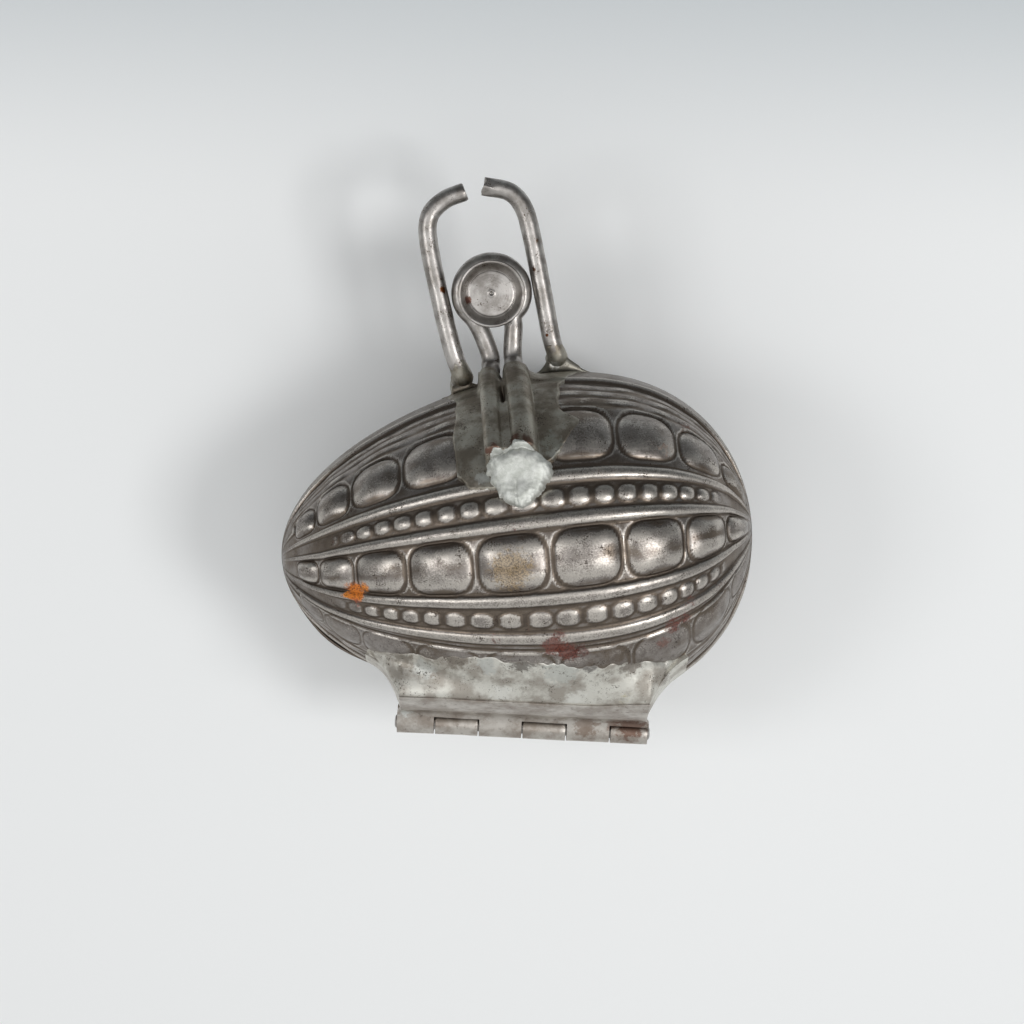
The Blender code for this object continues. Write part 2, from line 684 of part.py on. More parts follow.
def build():
    clear_scene()
    parts = make_collection("hinged_chocolate_mould")
    cutters = make_collection("cutters")
    tin = make_material("aged_tinplate", TIN, 0.4, 1.0)
    leaf_tin = make_material("rolled_tinplate", TIN, 0.45, 1.0)
    solder = make_material("dull_solder", SOLDER, 0.5, 1.0)
    bright_solder = make_material("bright_solder", BRIGHT_SOLDER, 0.35, 1.0)
    wire_steel = make_material("tinned_wire", STEEL_WIRE, 0.35, 1.0)

    loop = loop_route()
    left_arm = arm_route(LEFT_ARM, LEFT_BENDS, -1)
    right_arm = arm_route(RIGHT_ARM, RIGHT_BENDS, 1)
    leg_points = len(shell_climb(LEG_MIDDLE, FRONT))
    left_leg_room = wire_channel("left_leg_room", cutters, loop[:leg_points])
    right_leg_room = wire_channel("right_leg_room", cutters, loop[:-leg_points - 1:-1])
    left_arm_room = wire_channel("left_arm_room", cutters, left_arm[:leg_points])
    right_arm_room = wire_channel("right_arm_room", cutters, right_arm[:leg_points])
    leg_humps = (-LEG_SPACING / 2, LEG_SPACING / 2)

    back = [
        make_shell("back_shell", parts, cutters, tin, BACK),
        make_leaf("back_hinge_leaf", parts, cutters, leaf_tin, BACK),
        make_pin(parts, wire_steel),
        make_hinge_fill("back_hinge_solder", parts, solder, BACK),
        add_wire("left_catch_arm", parts, smooth_route(left_arm), wire_steel),
        add_wire("right_catch_arm", parts, smooth_route(right_arm), wire_steel),
        make_saddle("left_arm_solder", parts, solder, BACK, LEFT_ARM, (0.0,), ARM_APRON, [left_arm_room]),
        make_saddle("right_arm_solder", parts, solder, BACK, RIGHT_ARM, (0.0,), ARM_APRON, [right_arm_room]),
    ]
    front = [
        make_shell("front_shell", parts, cutters, tin, FRONT),
        make_leaf("front_hinge_leaf", parts, cutters, leaf_tin, FRONT),
        make_hinge_fill("front_hinge_solder", parts, solder, FRONT),
        add_wire("catch_loop", parts, smooth_route(loop), wire_steel),
        make_cup(parts, wire_steel),
        make_saddle("loop_leg_solder", parts, solder, FRONT, LEG_MIDDLE, leg_humps, LEG_APRON,
                    [left_leg_room, right_leg_room]),
        make_end_blob(parts, bright_solder),
    ]
    low, high = object_box(back + front)
    mould = add_empty("mould", parts, (0, 0, 0))
    hinge = add_empty("hinge_axis", parts, (0, -HINGE_OFFSET, 0))
    parent_to(back, mould)
    parent_to(front, hinge)
    hinge.parent = mould
    mould.location = (-(low.x + high.x) / 2, -(low.y + high.y) / 2, -low.z)
    for item in cutters.objects:
        item.parent = mould
    print("hinge axis at", [round(value, 6) for value in mould.location + hinge.location])
    print("size", [round(value, 6) for value in high - low])


build()
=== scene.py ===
"""Looks of a hinged chocolate mould: pressed tinplate, solder, drawn wire and a rolled hinge.

Sizes are in metres and angles in radians, unless a name or comment says otherwise.
"""

import functools
import json
import math
import random

import bmesh
import bpy
from mathutils import Matrix, Vector, geometry, noise


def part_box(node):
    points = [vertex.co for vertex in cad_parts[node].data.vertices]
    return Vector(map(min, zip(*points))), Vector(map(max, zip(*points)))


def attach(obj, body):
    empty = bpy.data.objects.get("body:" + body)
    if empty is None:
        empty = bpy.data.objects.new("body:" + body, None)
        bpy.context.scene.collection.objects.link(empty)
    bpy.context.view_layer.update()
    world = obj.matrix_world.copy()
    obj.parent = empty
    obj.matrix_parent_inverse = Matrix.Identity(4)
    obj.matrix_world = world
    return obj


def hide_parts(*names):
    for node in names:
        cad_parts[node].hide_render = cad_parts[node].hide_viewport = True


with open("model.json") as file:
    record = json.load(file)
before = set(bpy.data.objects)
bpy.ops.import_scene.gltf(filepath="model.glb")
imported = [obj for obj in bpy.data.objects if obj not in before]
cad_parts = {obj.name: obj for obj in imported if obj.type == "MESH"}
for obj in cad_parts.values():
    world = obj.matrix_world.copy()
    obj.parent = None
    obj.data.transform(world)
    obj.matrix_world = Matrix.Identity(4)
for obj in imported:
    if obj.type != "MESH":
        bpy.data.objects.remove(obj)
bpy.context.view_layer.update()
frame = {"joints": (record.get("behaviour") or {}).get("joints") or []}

MM = 0.001

# The egg and its pressed pattern, as the model has them
EGG_LENGTH = 0.1015
EGG_WIDTH = 0.0704
BLUNT_GROWTH = 0.208         # share by which the egg grows wider to its blunt end
BLUNT_ROUNDNESS = 0.052      # and fuller at both ends
EGG_SKEW = math.radians(7.1)  # from the hinge's line to the egg's own axis
PATTERN_SKEW = math.radians(2.2)  # the pattern was pressed this far out of line with the egg
SHEET = 0.0006
PARTING_GAP = 0.0003
BOSSES = 9
BOSS_SPREAD = (-1, 161, 28, -40)  # their turns in degrees: factors of 1, of a share of the row and its powers
GORE = math.radians(45)      # from one row of bosses to the next
RIM_START = 1.755            # gores from the crown to the plain rim band

# How far the pattern lies under the egg's own surface, and rises from its floor
CREASE_DROP = 0.0017         # where a boss meets the floor
WEB_DROP = 0.00140           # the thin webs between one boss and the next
FLOOR_DROP = 0.0015
RIB_RISE = 0.00085
BEAD_RISE = 0.00075
RIM_FLOOR_DROP = 0.0010
WORN_ROW_DROP = 0.0008       # the row by the hinge is rubbed towards this
FLAT_RIB_RISE = 0.0003
PATTERN_FADE = 0.5           # it flattens where the egg is thinner than this share
BOSS_CROWN = (2.3, 0.72)     # how a boss rounds over to its top, as powers
BEAD_CROWN = (2.3, 0.7)
CORD_CROWN = 0.62
BEADS_FROM = (0.50, 0.74)    # beads rise where the egg is this share of its full width
LOWER_BEAD_WEAR = 0.8
RELIEF_RANGE = 0.16 * MM     # a step that counts as a full crease or edge for the film, the painted crease shade, and the edges' wear and painted glints

# The back half's rim is pushed out near its pointed end: how far, and at what turn, in degrees
BULGE = 0.0011
BULGE_TURN = -53
BULGE_WIDTH = 13

# Places and half widths across the egg, in gores from a row of bosses
BOSS_HALF = 0.235
RIM_ROW_HALF = 0.29          # the outer rows reach further on their rim side
CREASE_HALF = 0.012
RIB_PLACES = (0.30, 0.64)
RIB_HALF = 0.058
BEAD_PLACE = 0.467
BEAD_HALF = 0.075
FLAT_RIBS = (1.38, 1.50, 1.63)
FLAT_RIB_HALF = 0.05
BOSS_ROUNDNESS = 3.3         # of a boss's outline: 2 is an ellipse, more is squarer
RIM_ROW_ROUNDNESS = 2.6
WEB_SHARE = 1.07             # half the pitch of the bosses, in half lengths of one
BEAD_SHARE = 0.47            # half length of a bead, in bead pitches
# Beads along the egg: turn in degrees, and the count of beads there
UPPER_BEADS = ((-60, -11.7), (-4.3, -2), (10, 0), (60, 8.1))
LOWER_BEADS = ((-60, -9.9), (-16, -2), (38.7, 6), (60, 9.7))

# Hinge
HINGE_OFFSET = 0.040258      # from the middle of the egg to the pin
HINGE_MIDDLE = 0.0032        # along the hinge, from the middle of the egg
HINGE_LENGTH = 0.0546
KNUCKLES = 6
END_KNUCKLE = 0.0083
KNUCKLE_GAP = 0.00028
BARREL_DIAMETER = 0.0048
LEAF_SHEET = 0.0007
FLANK = 0.035058             # the fullest part of the egg behind the leaves
LEAF_STANDOFF = 0.0011
LEAF_TOP_ANGLE = math.radians(58.5)
LEAF_BEND_ANGLE = math.radians(80)
LEAF_BOW = math.radians(3.4)  # its free edge is drawn up this much at the blunt end
LEAF_BOW_SPAN = (0.016, 0.031)  # along the hinge, where it starts to be and where it fully is
NOTCH_EDGE = Vector((0.0018, 0.00233))  # where a leaf is notched, from the pin, at the middle of its sheet
LEAF_TAPER = 0.035           # share by which its free edge is shorter
ROLL_START = math.radians(97.8)  # the leaf meets its roll here, round the pin from the egg's side
ROLL_WRAP = math.radians(266)
ROLL_STEPS = 44
LEAF_BEVEL = 0.00012         # its sheet's edges are worn round
FLOOD_OVER_LEAF = 0.0003     # solder stands this much over the leaf's free edge
PIN_DIAMETER = 0.0028
PIN_HEAD = 0.0004

# Wire handle
WIRE = 0.00406
RING_OFFSET = -0.00124       # along the egg, from its middle
RING_REACH = 0.01875         # from the rim to the ring's centre
RING_RADIUS = 0.00665        # to the middle of the wire
RING_NECK = math.radians(40)  # the neck leaves the ring this far from its bottom
NECK_DROP = 0.0079           # below the ring's centre, where the legs open out to it
NECK_LEFT = -0.0029          # and how far they are from that centre there, along the egg
NECK_RIGHT = 0.0041
LEG_GAP = 0.00084            # between the legs where they are soldered
LEG_MIDDLE = -0.00015        # along the egg, from its middle
WIRE_END_ANGLE = math.radians(44)   # from the crown, where the wires stop on the shells
WIRE_BEND_ANGLE = math.radians(81)  # and where they leave them
# Points of a wire's bend at the rim: out from there, and off the parting plane
WIRE_BEND = ((0.0004, 0.0026), (0.0014, 0.0008), (0.0038, 0.0))
LEFT_ARM = -0.0090
RIGHT_ARM = 0.0116
# Points of an arm's bends: along the egg from where it grips the ring, and out from the rim
LEFT_BENDS = ((0, 0.0180), (-0.0015, 0.0303), (-0.0009, 0.0359), (0.0025, 0.0391), (0.0071, 0.0406))
RIGHT_BENDS = ((0, 0.0169), (-0.0016, 0.0303), (-0.0029, 0.0363), (-0.0056, 0.0398), (-0.0110, 0.0414))
ARM_LEAN = 0.55              # share of the way from an arm's first bend down to the rim that is straight
PINCH_LENGTH = 0.0028        # the right arm's tip was nipped with pliers
PINCH_DEPTH = 0.66           # share of the wire's radius left under the flats
PINCH_ANGLE = math.radians(35)
PINCH_HEADING = math.radians(-73)  # across the tip, from the egg's own axis
LEFT_LEG_LEAN = 0.00035      # the legs lean this far to the blunt end where they stop
RIGHT_LEG_LEAN = 0.0008
WIRE_SIDES = 36
ROUTE_STEPS = 12             # from one point of a wire's route to the next
CUP_DIAMETER = 0.0144
CUP_FLOOR_DIAMETER = 0.0106
CUP_WALL_SPREAD = 0.0020
CUP_SHEET = 0.0006
CUP_DISH = 0.0005
CUP_CROWN = 0.0003           # its floor swells this much
CLEARANCE = 0.0003

# Solder
SOLDER_SKIN = 0.0001         # over a wire
SOLDER_UNDER = 0.00035       # its underside is sunk this far into the sheet
SOLDER_GONE = 0.0002         # where it has run out, its face is sunk this far
SOLDER_EDGE = 0.0005         # it rounds down to the sheet over this width
LEG_COLLAR = 0.0030          # how far it is drawn out along the wires at the rim
LEFT_COLLAR = 0.0018
RIGHT_COLLAR = 0.0036
LEFT_FILLETS = (0.0014, 0.0040)  # width of what is drawn up beside an arm at the rim, to its left and right
RIGHT_FILLETS = (0.0042, 0.0085)
LEG_FILLETS = (0.0016, 0.0042)   # and beside the two legs
LEGS_COVERED = (34.8, 37.8)  # degrees from the crown, where it starts to cover the legs
COLLAR_FROM = (81.3, 82.6)   # and where it gives way to the collar
SLEEVE = 0.0004              # thickness of what is drawn up round an arm
SLEEVE_LENGTH = 0.0050
FLOOD_REACH = 0.0068         # the hinge's solder runs this far past the leaves
FLOOD_INSET = 0.001          # and starts to thin this far inside their ends
FLOOD_LEVEL = -0.00012       # its surface, over the egg's own
FLOOD_EDGE = 38.4            # degrees from the crown where it ends, at the middle of the hinge
FLOOD_WANE = 18.5            # and how many more at its ends
LUMP_ACROSS = 0.0023
LUMP_ANGLE = math.radians(30.3)
LUMP_HEIGHT = 0.0023
LUMP_CLIMB = 0.0054          # it is drawn up to the legs' ends
LUMP_SKIN = 0.0006           # and over them
LUMP_REACH = (6.8, 5.9, 5.1, 5.1, 5.0, 6.9, 6.6, 5.8, 6.5, 6.8, 5.7, 5.6)  # mm, at twelve headings from +X
# Outline of the legs' solder: degrees from the crown, and how far it runs along the egg, in mm
LEG_SHEET_LEFT = (
    (25.5, 1), (26.8, -3.6), (27.8, -8.5), (33.7, -11.0), (51, -11.6), (75.7, -10.5), (90, -13.5))
LEG_SHEET_RIGHT = (
    (25.5, 0), (33.5, 8.0), (38.2, 11.0), (42.2, 12.6), (50.7, 15.7), (54, 13.0), (57.1, 11.4),
    (75, 12.0), (90, 17.0))
ARM_SHEET_TOP = 42.5         # degrees from the crown, where the arms' solder starts
ARM_SHEET_HALF = 0.005       # to each side of an arm
DEGREE = 0.00062             # about what one degree is, round the egg
# Patches of the shell that are meshed for solder: metres along the egg, and degrees from the crown.
# The arms' and the lump's are counted along the egg from their middles, and the lump's degrees as well.
LEG_PATCH = ((-0.0150, 0.0180), (24, 89.7))
ARM_PATCH = ((-0.0066, 0.0095), (40, 89.7))
LUMP_PATCH = ((-0.0080, 0.0080), (math.degrees(-0.26), math.degrees(0.24)))

HALF_LENGTH = EGG_LENGTH / 2
HINGE_START = HINGE_MIDDLE - HINGE_LENGTH / 2
HINGE_END = HINGE_MIDDLE + HINGE_LENGTH / 2
ROLL_RADIUS = (BARREL_DIAMETER - LEAF_SHEET) / 2
NOTCH_HEIGHT = BARREL_DIAMETER / 2 + CLEARANCE
WIRE_LIFT = WIRE / 2 + CLEARANCE
LEG_SPACING = WIRE + LEG_GAP
RING_CENTRE = Vector((RING_OFFSET, EGG_WIDTH / 2 + RING_REACH, 0))
ARM_GRIP = RING_RADIUS + WIRE + CLEARANCE
FRONT = 1
BACK = -1

PIN = Vector(frame["joints"][0]["pos_m"])
CENTRE = PIN + Vector((0, HINGE_OFFSET, 0))  # the middle of the egg, on the parting plane

# Light: radiance of the room on the hinge's side and on the handle's
ROOM_BRIGHT = (0.76, 0.77, 0.77, 1)
ROOM_DARK = (0.14, 0.145, 0.15, 1)
# Softboxes: lean from straight up and heading from +X in degrees, distance, size, and power in watts
SOFTBOXES = (
    ("key", 33, -6, 0.9, 0.22, 2.5),
    ("fill", 38, 182, 0.9, 0.26, 1.3),
    ("ceiling", 0, 0, 0.95, 0.8, 1.5),
)
FLOOR_HALF = 1.5

# The photograph's camera: where the egg's middle falls in its frame, and how it is seen
PHOTO_SIZE = 1024
EGG_PIXEL = Vector((516.45, 542.86))
PIXEL = 0.0002155            # one pixel on the parting plane
CAMERA_DISTANCE = 0.58
CAMERA_TILT = math.radians(7.3)  # leans over the handle
CAMERA_ROLL = math.radians(2.8)


def smooth_step(low, high, value):
    share = min(1.0, max(0.0, (value - low) / (high - low)))
    return share * share * (3 - 2 * share)


def blend(a, b, share):
    return a + (b - a) * share


def follow(marks, value):
    """Read a result between marks of (value, result); the end stretches carry on outward."""
    for (low, first), (high, last) in zip(marks, marks[1:]):
        if value < high:
            break
    return blend(first, last, (value - low) / (high - low))


def bell(off, width):
    """1 where off is 0, falling away to both sides over about a width."""
    return math.exp(-(off / width) ** 2)


def bumps(point, size, seed):
    """Smooth noise from -1 to 1 that varies over about size metres."""
    return noise.noise(Vector(point) / size + Vector((seed * 17.3, seed * 5.1, seed * 9.7)))


def rough(point, *waves):
    """Unevenness made of waves, each given as (height in mm, size in mm, seed)."""
    return sum(height * MM * bumps(point, size * MM, seed) for height, size, seed in waves)


# Egg shape


EGG_AXES = Matrix.Rotation(EGG_SKEW, 3, "Z")


def from_egg_axes(point):
    return EGG_AXES @ Vector(point)


def egg_radius(turn):
    t = math.sin(turn)
    return EGG_WIDTH / 2 * math.cos(turn) * (1 + BLUNT_GROWTH * t + BLUNT_ROUNDNESS * t * t)


def egg_point(turn, angle, lift, side):
    """A point lift above the egg, round its middle; angle is from the crown, positive to the handle."""
    t = math.sin(turn)
    growth = 1 + BLUNT_GROWTH * t + BLUNT_ROUNDNESS * t * t
    growth_slope = (BLUNT_GROWTH + 2 * BLUNT_ROUNDNESS * t) * math.cos(turn)
    along = HALF_LENGTH * math.cos(turn)
    outward = EGG_WIDTH / 2 * (math.cos(turn) * growth_slope - math.sin(turn) * growth)
    normal = Vector((-outward, along)).normalized()
    radius = egg_radius(turn) + normal.y * lift
    x = HALF_LENGTH * t + normal.x * lift
    return from_egg_axes((x, radius * math.sin(angle), side * radius * math.cos(angle)))


def turn_at(across):
    return math.asin(max(-0.99, min(0.99, across / HALF_LENGTH)))


def shell_turn(x, angle):
    """The turn at which the egg, at this angle, lies at x along the hinge."""
    turn = 0.0
    for _ in range(8):
        depth = egg_radius(turn) * math.sin(angle)
        turn = turn_at((x + depth * math.sin(EGG_SKEW)) / math.cos(EGG_SKEW))
    return turn


def off_parting(point, side):
    """Keep a half's points on its own side of the parting plane."""
    return Vector((point.x, point.y, side * max(side * point.z, PARTING_GAP / 2)))


def on_table(point):
    """The back half is worn flat where it lies on the table."""
    return Vector((point.x, point.y, max(point.z, -CENTRE.z)))


# Pressed pattern


def row_swing(turn, angle):
    """Angle by which the skewed pattern moves a row of it round the egg."""
    lean = HALF_LENGTH * math.sin(turn) / max(egg_radius(turn), EGG_WIDTH / 4)
    return PATTERN_SKEW * lean * math.cos(angle)


def boss_turn(share):
    """Turn at a share of the boss rows, from -0.5 at the pointed end to 0.5."""
    return math.radians(sum(factor * share ** power for power, factor in enumerate(BOSS_SPREAD)))


@functools.lru_cache(maxsize=None)
def boss_place(turn):
    """Where a turn lies in the boss rows, counted in bosses; None past the rows' ends."""
    low, high = -0.5, 0.5
    if not boss_turn(low) < turn < boss_turn(high):
        return None
    for _ in range(24):
        middle = (low + high) / 2
        if boss_turn(middle) < turn:
            low = middle
        else:
            high = middle
    return (low + 0.5) * BOSSES


chance = random.Random(7)
BOSS_SAG = [[chance.uniform(0.0, 0.22) * MM for _ in range(BOSSES)] for _ in range(4)]


def boss_outline(place, across, roundness):
    """Place within a boss, 0 in its middle and 1 on its outline; place counts bosses along their row."""
    along = abs(2 * (place - min(BOSSES - 1, int(place))) - 1) * WEB_SHARE
    return (along ** roundness + abs(across) ** roundness) ** (1 / roundness)


def boss_drop(place, across, outer_half, row):
    """A pressed cushion and the web beside it; across runs from -1 to 1 over the row."""
    outline = boss_outline(place, across, RIM_ROW_ROUNDNESS if outer_half else BOSS_ROUNDNESS)
    if outline < 1:
        top = BOSS_SAG[row][min(BOSSES - 1, int(place))]
        return blend(CREASE_DROP, top, (1 - outline ** BOSS_CROWN[0]) ** BOSS_CROWN[1])
    web = blend(WEB_DROP, RIM_FLOOR_DROP if outer_half else FLOOR_DROP, smooth_step(0.55, 1.0, abs(across)))
    return blend(CREASE_DROP, web, smooth_step(1.0, WEB_SHARE, outline))


def cord_height(distance, half):
    """Round rib, 0 to 1."""
    share = abs(distance) / half
    return 0.0 if share >= 1 else (1 - share * share) ** CORD_CROWN


def bead_height(place, across):
    """Round beads that nearly touch, 0 to 1."""
    along = abs(place - round(place)) / BEAD_SHARE
    roundness, crown = BEAD_CROWN
    outline = (along ** roundness + abs(across / BEAD_HALF) ** roundness) ** (1 / roundness)
    return 0.0 if outline >= 1 else (1 - outline ** 2) ** crown


def floor_drop(turn, gores, place):
    """Floor between two rows of bosses, with its ribs, its beads and the creases along the bosses."""
    reach = abs(gores)
    beads = UPPER_BEADS if gores > 0 else LOWER_BEADS
    worn = smooth_step(*BEADS_FROM, egg_radius(turn) / (EGG_WIDTH / 2))
    worn *= 1.0 if gores > 0 else LOWER_BEAD_WEAR
    rises = [worn * bead_height(follow(beads, math.degrees(turn)), reach - BEAD_PLACE) * BEAD_RISE]
    rises += [cord_height(reach - rib, RIB_HALF) * RIB_RISE for rib in RIB_PLACES]
    crease = 0.0
    if place is not None:
        beside_boss = 1 - smooth_step(1.0, WEB_SHARE, boss_outline(place, 1.0, BOSS_ROUNDNESS))
        crease = beside_boss * (1 - min(1.0, min(reach - BOSS_HALF, 1 - BOSS_HALF - reach) / CREASE_HALF))
    return FLOOR_DROP - max(rises) + (CREASE_DROP - FLOOR_DROP) * crease


def rim_drop(turn, reach):
    """Worn, flattened ribs between the outer rows and the rim band."""
    drop = RIM_FLOOR_DROP
    for number, rib in enumerate(FLAT_RIBS):
        waver = 0.03 * noise.noise(Vector((turn * 6, number * 7.0, 0)))
        worn = 0.8 + 0.9 * noise.noise(Vector((turn * 9, number * 7.0, 5)))
        drop -= FLAT_RIB_RISE * worn * cord_height(reach - rib - waver, FLAT_RIB_HALF)
    return drop * (1 - smooth_step(RIM_START - 0.05, RIM_START, reach))


def pressed_drop(turn, gores):
    """How far the pressed sheet lies under the egg's own surface."""
    reach = abs(gores)
    if reach > RIM_START:
        return 0.0
    row = 0 if reach < 0.5 else 1
    off = reach - row
    outer_half = row == 1 and off > 0
    half = RIM_ROW_HALF if outer_half else BOSS_HALF
    place = boss_place(turn)
    if abs(off) < half and place is not None:
        drop = boss_drop(place, off / half, outer_half, row + (2 if gores < 0 else 0))
        return blend(drop, WORN_ROW_DROP, 0.6) if row == 1 and gores < 0 else drop
    if outer_half:
        return rim_drop(turn, reach)
    return floor_drop(turn, gores, place)


def shell_lift(turn, gores, side):
    """Lift of the pressed sheet over the egg's own surface: pattern, its fade at the ends, and dents."""
    fade = smooth_step(0.0, PATTERN_FADE, egg_radius(turn) / (EGG_WIDTH / 2))
    place = egg_point(turn, gores * GORE, 0, side)
    dents = rough(place, (0.11, 11, 1), (0.05, 3.5, 2)) - 0.1 * MM
    rim_band = smooth_step(1.85, 2.0, abs(gores))
    return dents * (1 - rim_band) - pressed_drop(turn, gores) * fade


def sheet_lift(turn, angle, side):
    """The same lift, at an angle round the egg."""
    return shell_lift(turn, (angle - row_swing(turn, angle)) / GORE, side)


# Meshes


def add_object(name, data):
    item = bpy.data.objects.new(name, data)
    bpy.context.scene.collection.objects.link(item)
    return item


def add_piece(name, bm, body, materials, node):
    """Make a piece of a bmesh drawn round the egg's middle; it rides on a body and replaces a node."""
    bmesh.ops.translate(bm, verts=bm.verts, vec=CENTRE)
    mesh = bpy.data.meshes.new(name)
    bm.to_mesh(mesh)
    bm.free()
    for material in materials:
        mesh.materials.append(material)
    mesh.shade_smooth()
    piece = add_object(name, mesh)
    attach(piece, body)
    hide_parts(node)
    return piece


def close_up(bm, gap=0.002 * MM):
    """Join faces whose edges meet, and turn them all outward."""
    bmesh.ops.remove_doubles(bm, verts=bm.verts, dist=gap)
    bmesh.ops.recalc_face_normals(bm, faces=bm.faces)


def add_grid(bm, rows, closed=False):
    """Faces between rows of points; closed joins each row's ends."""
    made = [[bm.verts.new(point) for point in row] for row in rows]
    count = len(made[0])
    steps = count if closed else count - 1
    for line, following in zip(made, made[1:]):
        for step in range(steps):
            after = (step + 1) % count
            bm.faces.new((line[step], line[after], following[after], following[step]))
    return made


def keep_sharp(piece, angle):
    piece.data.set_sharp_from_angle(angle=math.radians(angle))


# Steps between the pattern's lines, from the crown to the rim: (gores, steps up to there); fine at creases
SHELL_LINES = ((0.20, 7), (0.26, 5), (0.36, 8), (0.40, 3), (0.54, 11), (0.58, 3), (0.70, 9), (0.80, 8),
               (1.18, 14), (1.34, 10), (1.70, 24), (1.80, 8), (2.0, 6))
BOSS_STEPS = 30
CROWDING = 0.35              # stations lie closer together towards the webs
POINTED_STEPS = 20
BLUNT_STEPS = 12


def shell_lines():
    """Gores of the lines along the egg, from rim to rim."""
    half = []
    low = 0.0
    for high, steps in SHELL_LINES:
        half += [blend(low, high, step / steps) for step in range(steps)]
        low = high
    half.append(low)
    return [-gores for gores in half[:0:-1]] + half


def shell_stations():
    """Turns of the stations along the egg, from pole to pole."""
    first, last = boss_turn(-0.5), boss_turn(0.5)
    turns = [blend(-math.pi / 2, first, step / POINTED_STEPS) for step in range(POINTED_STEPS)]
    for boss in range(BOSSES):
        for step in range(BOSS_STEPS):
            share = step / BOSS_STEPS
            share -= CROWDING * math.sin(2 * math.pi * share) / (2 * math.pi)
            turns.append(boss_turn((boss + share) / BOSSES - 0.5))
    turns += [blend(last, math.pi / 2, step / BLUNT_STEPS) for step in range(BLUNT_STEPS + 1)]
    return turns


def rim_bulge(turn, angle):
    """The back half's rim is pushed out near its pointed end, on the hinge side."""
    near_rim = smooth_step(62, 88, -math.degrees(angle))
    return BULGE * bell(math.degrees(turn) - BULGE_TURN, BULGE_WIDTH) * near_rim


def shell_point(turn, gores, lift, side):
    """A point of a half's sheet, kept off the other half and worn flat where it lies on the table."""
    angle = gores * GORE
    angle += row_swing(turn, angle)
    if side == BACK:
        lift += rim_bulge(turn, angle)
    return on_table(off_parting(egg_point(turn, angle, lift, side), side))


def relief_at(lifts, station, line):
    """0.5 on an even stretch, less in a crease and more on an edge, by the lifts two steps away."""
    last_station = len(lifts) - 1
    last_line = len(lifts[0]) - 1
    around = [lifts[max(0, station - 2)][line], lifts[min(last_station, station + 2)][line]]
    around += [lifts[station][max(0, line - 2)], lifts[station][min(last_line, line + 2)]]
    return min(1.0, max(0.0, 0.5 + (lifts[station][line] - sum(around) / 4) / RELIEF_RANGE))


def make_shell(name, body, side, materials, node):
    """One pressed half: a fine outer face and a coarser inner one, joined round the rim.

    Its creases and edges are kept as an attribute for the tinplate's film, its painted crease shade, and its
    edges' wear and painted glints.
    """
    turns = shell_stations()
    lines = shell_lines()
    lifts = [[shell_lift(turn, gores, side) for gores in lines] for turn in turns]
    outer = []
    inner = []
    reliefs = []
    for station, turn in enumerate(turns):
        outer.append([shell_point(turn, gores, lift, side) for gores, lift in zip(lines, lifts[station])])
        reliefs.append([relief_at(lifts, station, line) for line in range(len(lines))])
        if station % 2 == 0:
            inner.append([shell_point(turn, gores, lift - SHEET, side)
                          for gores, lift in zip(lines[::2], lifts[station][::2])])
    bm = bmesh.new()
    layer = bm.verts.layers.float.new("relief")
    inside = add_grid(bm, inner)
    for face in bm.faces:
        face.material_index = 1
    outside = add_grid(bm, outer)
    for row, values in zip(outside, reliefs):
        for vertex, value in zip(row, values):
            vertex[layer] = value
    for edge in (0, -1):
        for step in range(len(inside) - 1):
            rim = [outside[2 * step + part][edge] for part in range(3)]
            bm.faces.new(rim + [inside[step + 1][edge], inside[step][edge]])
    close_up(bm, 0.01 * MM)
    return add_piece(name, bm, body, materials, node)


def leaf_top(x):
    """Angle from the crown of a leaf's free edge."""
    return LEAF_TOP_ANGLE - LEAF_BOW * smooth_step(*LEAF_BOW_SPAN, x)


def leaf_profile(x, side):
    """Section of a leaf at x, along its middle: over the solder, out to the hinge, and round the pin.

    Gives the points, and the count of them above the notches for the other leaf's knuckles.
    """
    reach = FLANK + LEAF_STANDOFF + LEAF_SHEET / 2
    points = []
    steps = 10
    for step in range(steps + 1):
        angle = blend(leaf_top(x), LEAF_BEND_ANGLE, step / steps)
        points.append(Vector((-reach * math.sin(angle), reach * math.cos(angle))))
    start = points[-1]
    notch_edge = Vector((-HINGE_OFFSET, 0)) + NOTCH_EDGE
    onto_roll = ROLL_RADIUS * Vector((math.cos(ROLL_START), math.sin(ROLL_START)))
    onto_roll += Vector((-HINGE_OFFSET, 0))
    flat = (onto_roll - notch_edge).normalized()
    heading = Vector((-math.cos(LEAF_BEND_ANGLE), -math.sin(LEAF_BEND_ANGLE)))
    handles = (start, start + heading * 1.5 * MM, notch_edge - flat * 1.3 * MM, notch_edge)
    points += geometry.interpolate_bezier(*handles, 8)[1:]
    notch = len(points)
    points += [blend(notch_edge, onto_roll, share) for share in (0.35, 0.7)]
    for step in range(ROLL_STEPS + 1):
        angle = ROLL_START + ROLL_WRAP * step / ROLL_STEPS
        points.append(Vector((-HINGE_OFFSET + ROLL_RADIUS * math.cos(angle), ROLL_RADIUS * math.sin(angle))))
    section = []
    for across, height in points:
        taper = LEAF_TAPER * smooth_step(NOTCH_HEIGHT, 1.2 * BARREL_DIAMETER, height)
        sag = rough((x, 0, height), (0.12, 9, 3 + side))
        section.append(Vector((x - taper * (x - HINGE_MIDDLE), across + sag, side * height)))
    return section, notch


def knuckle_ends():
    middle = (HINGE_LENGTH - 2 * END_KNUCKLE) / (KNUCKLES - 2)
    first = HINGE_START + END_KNUCKLE
    return [HINGE_START] + [first + middle * step for step in range(KNUCKLES - 1)] + [HINGE_END]


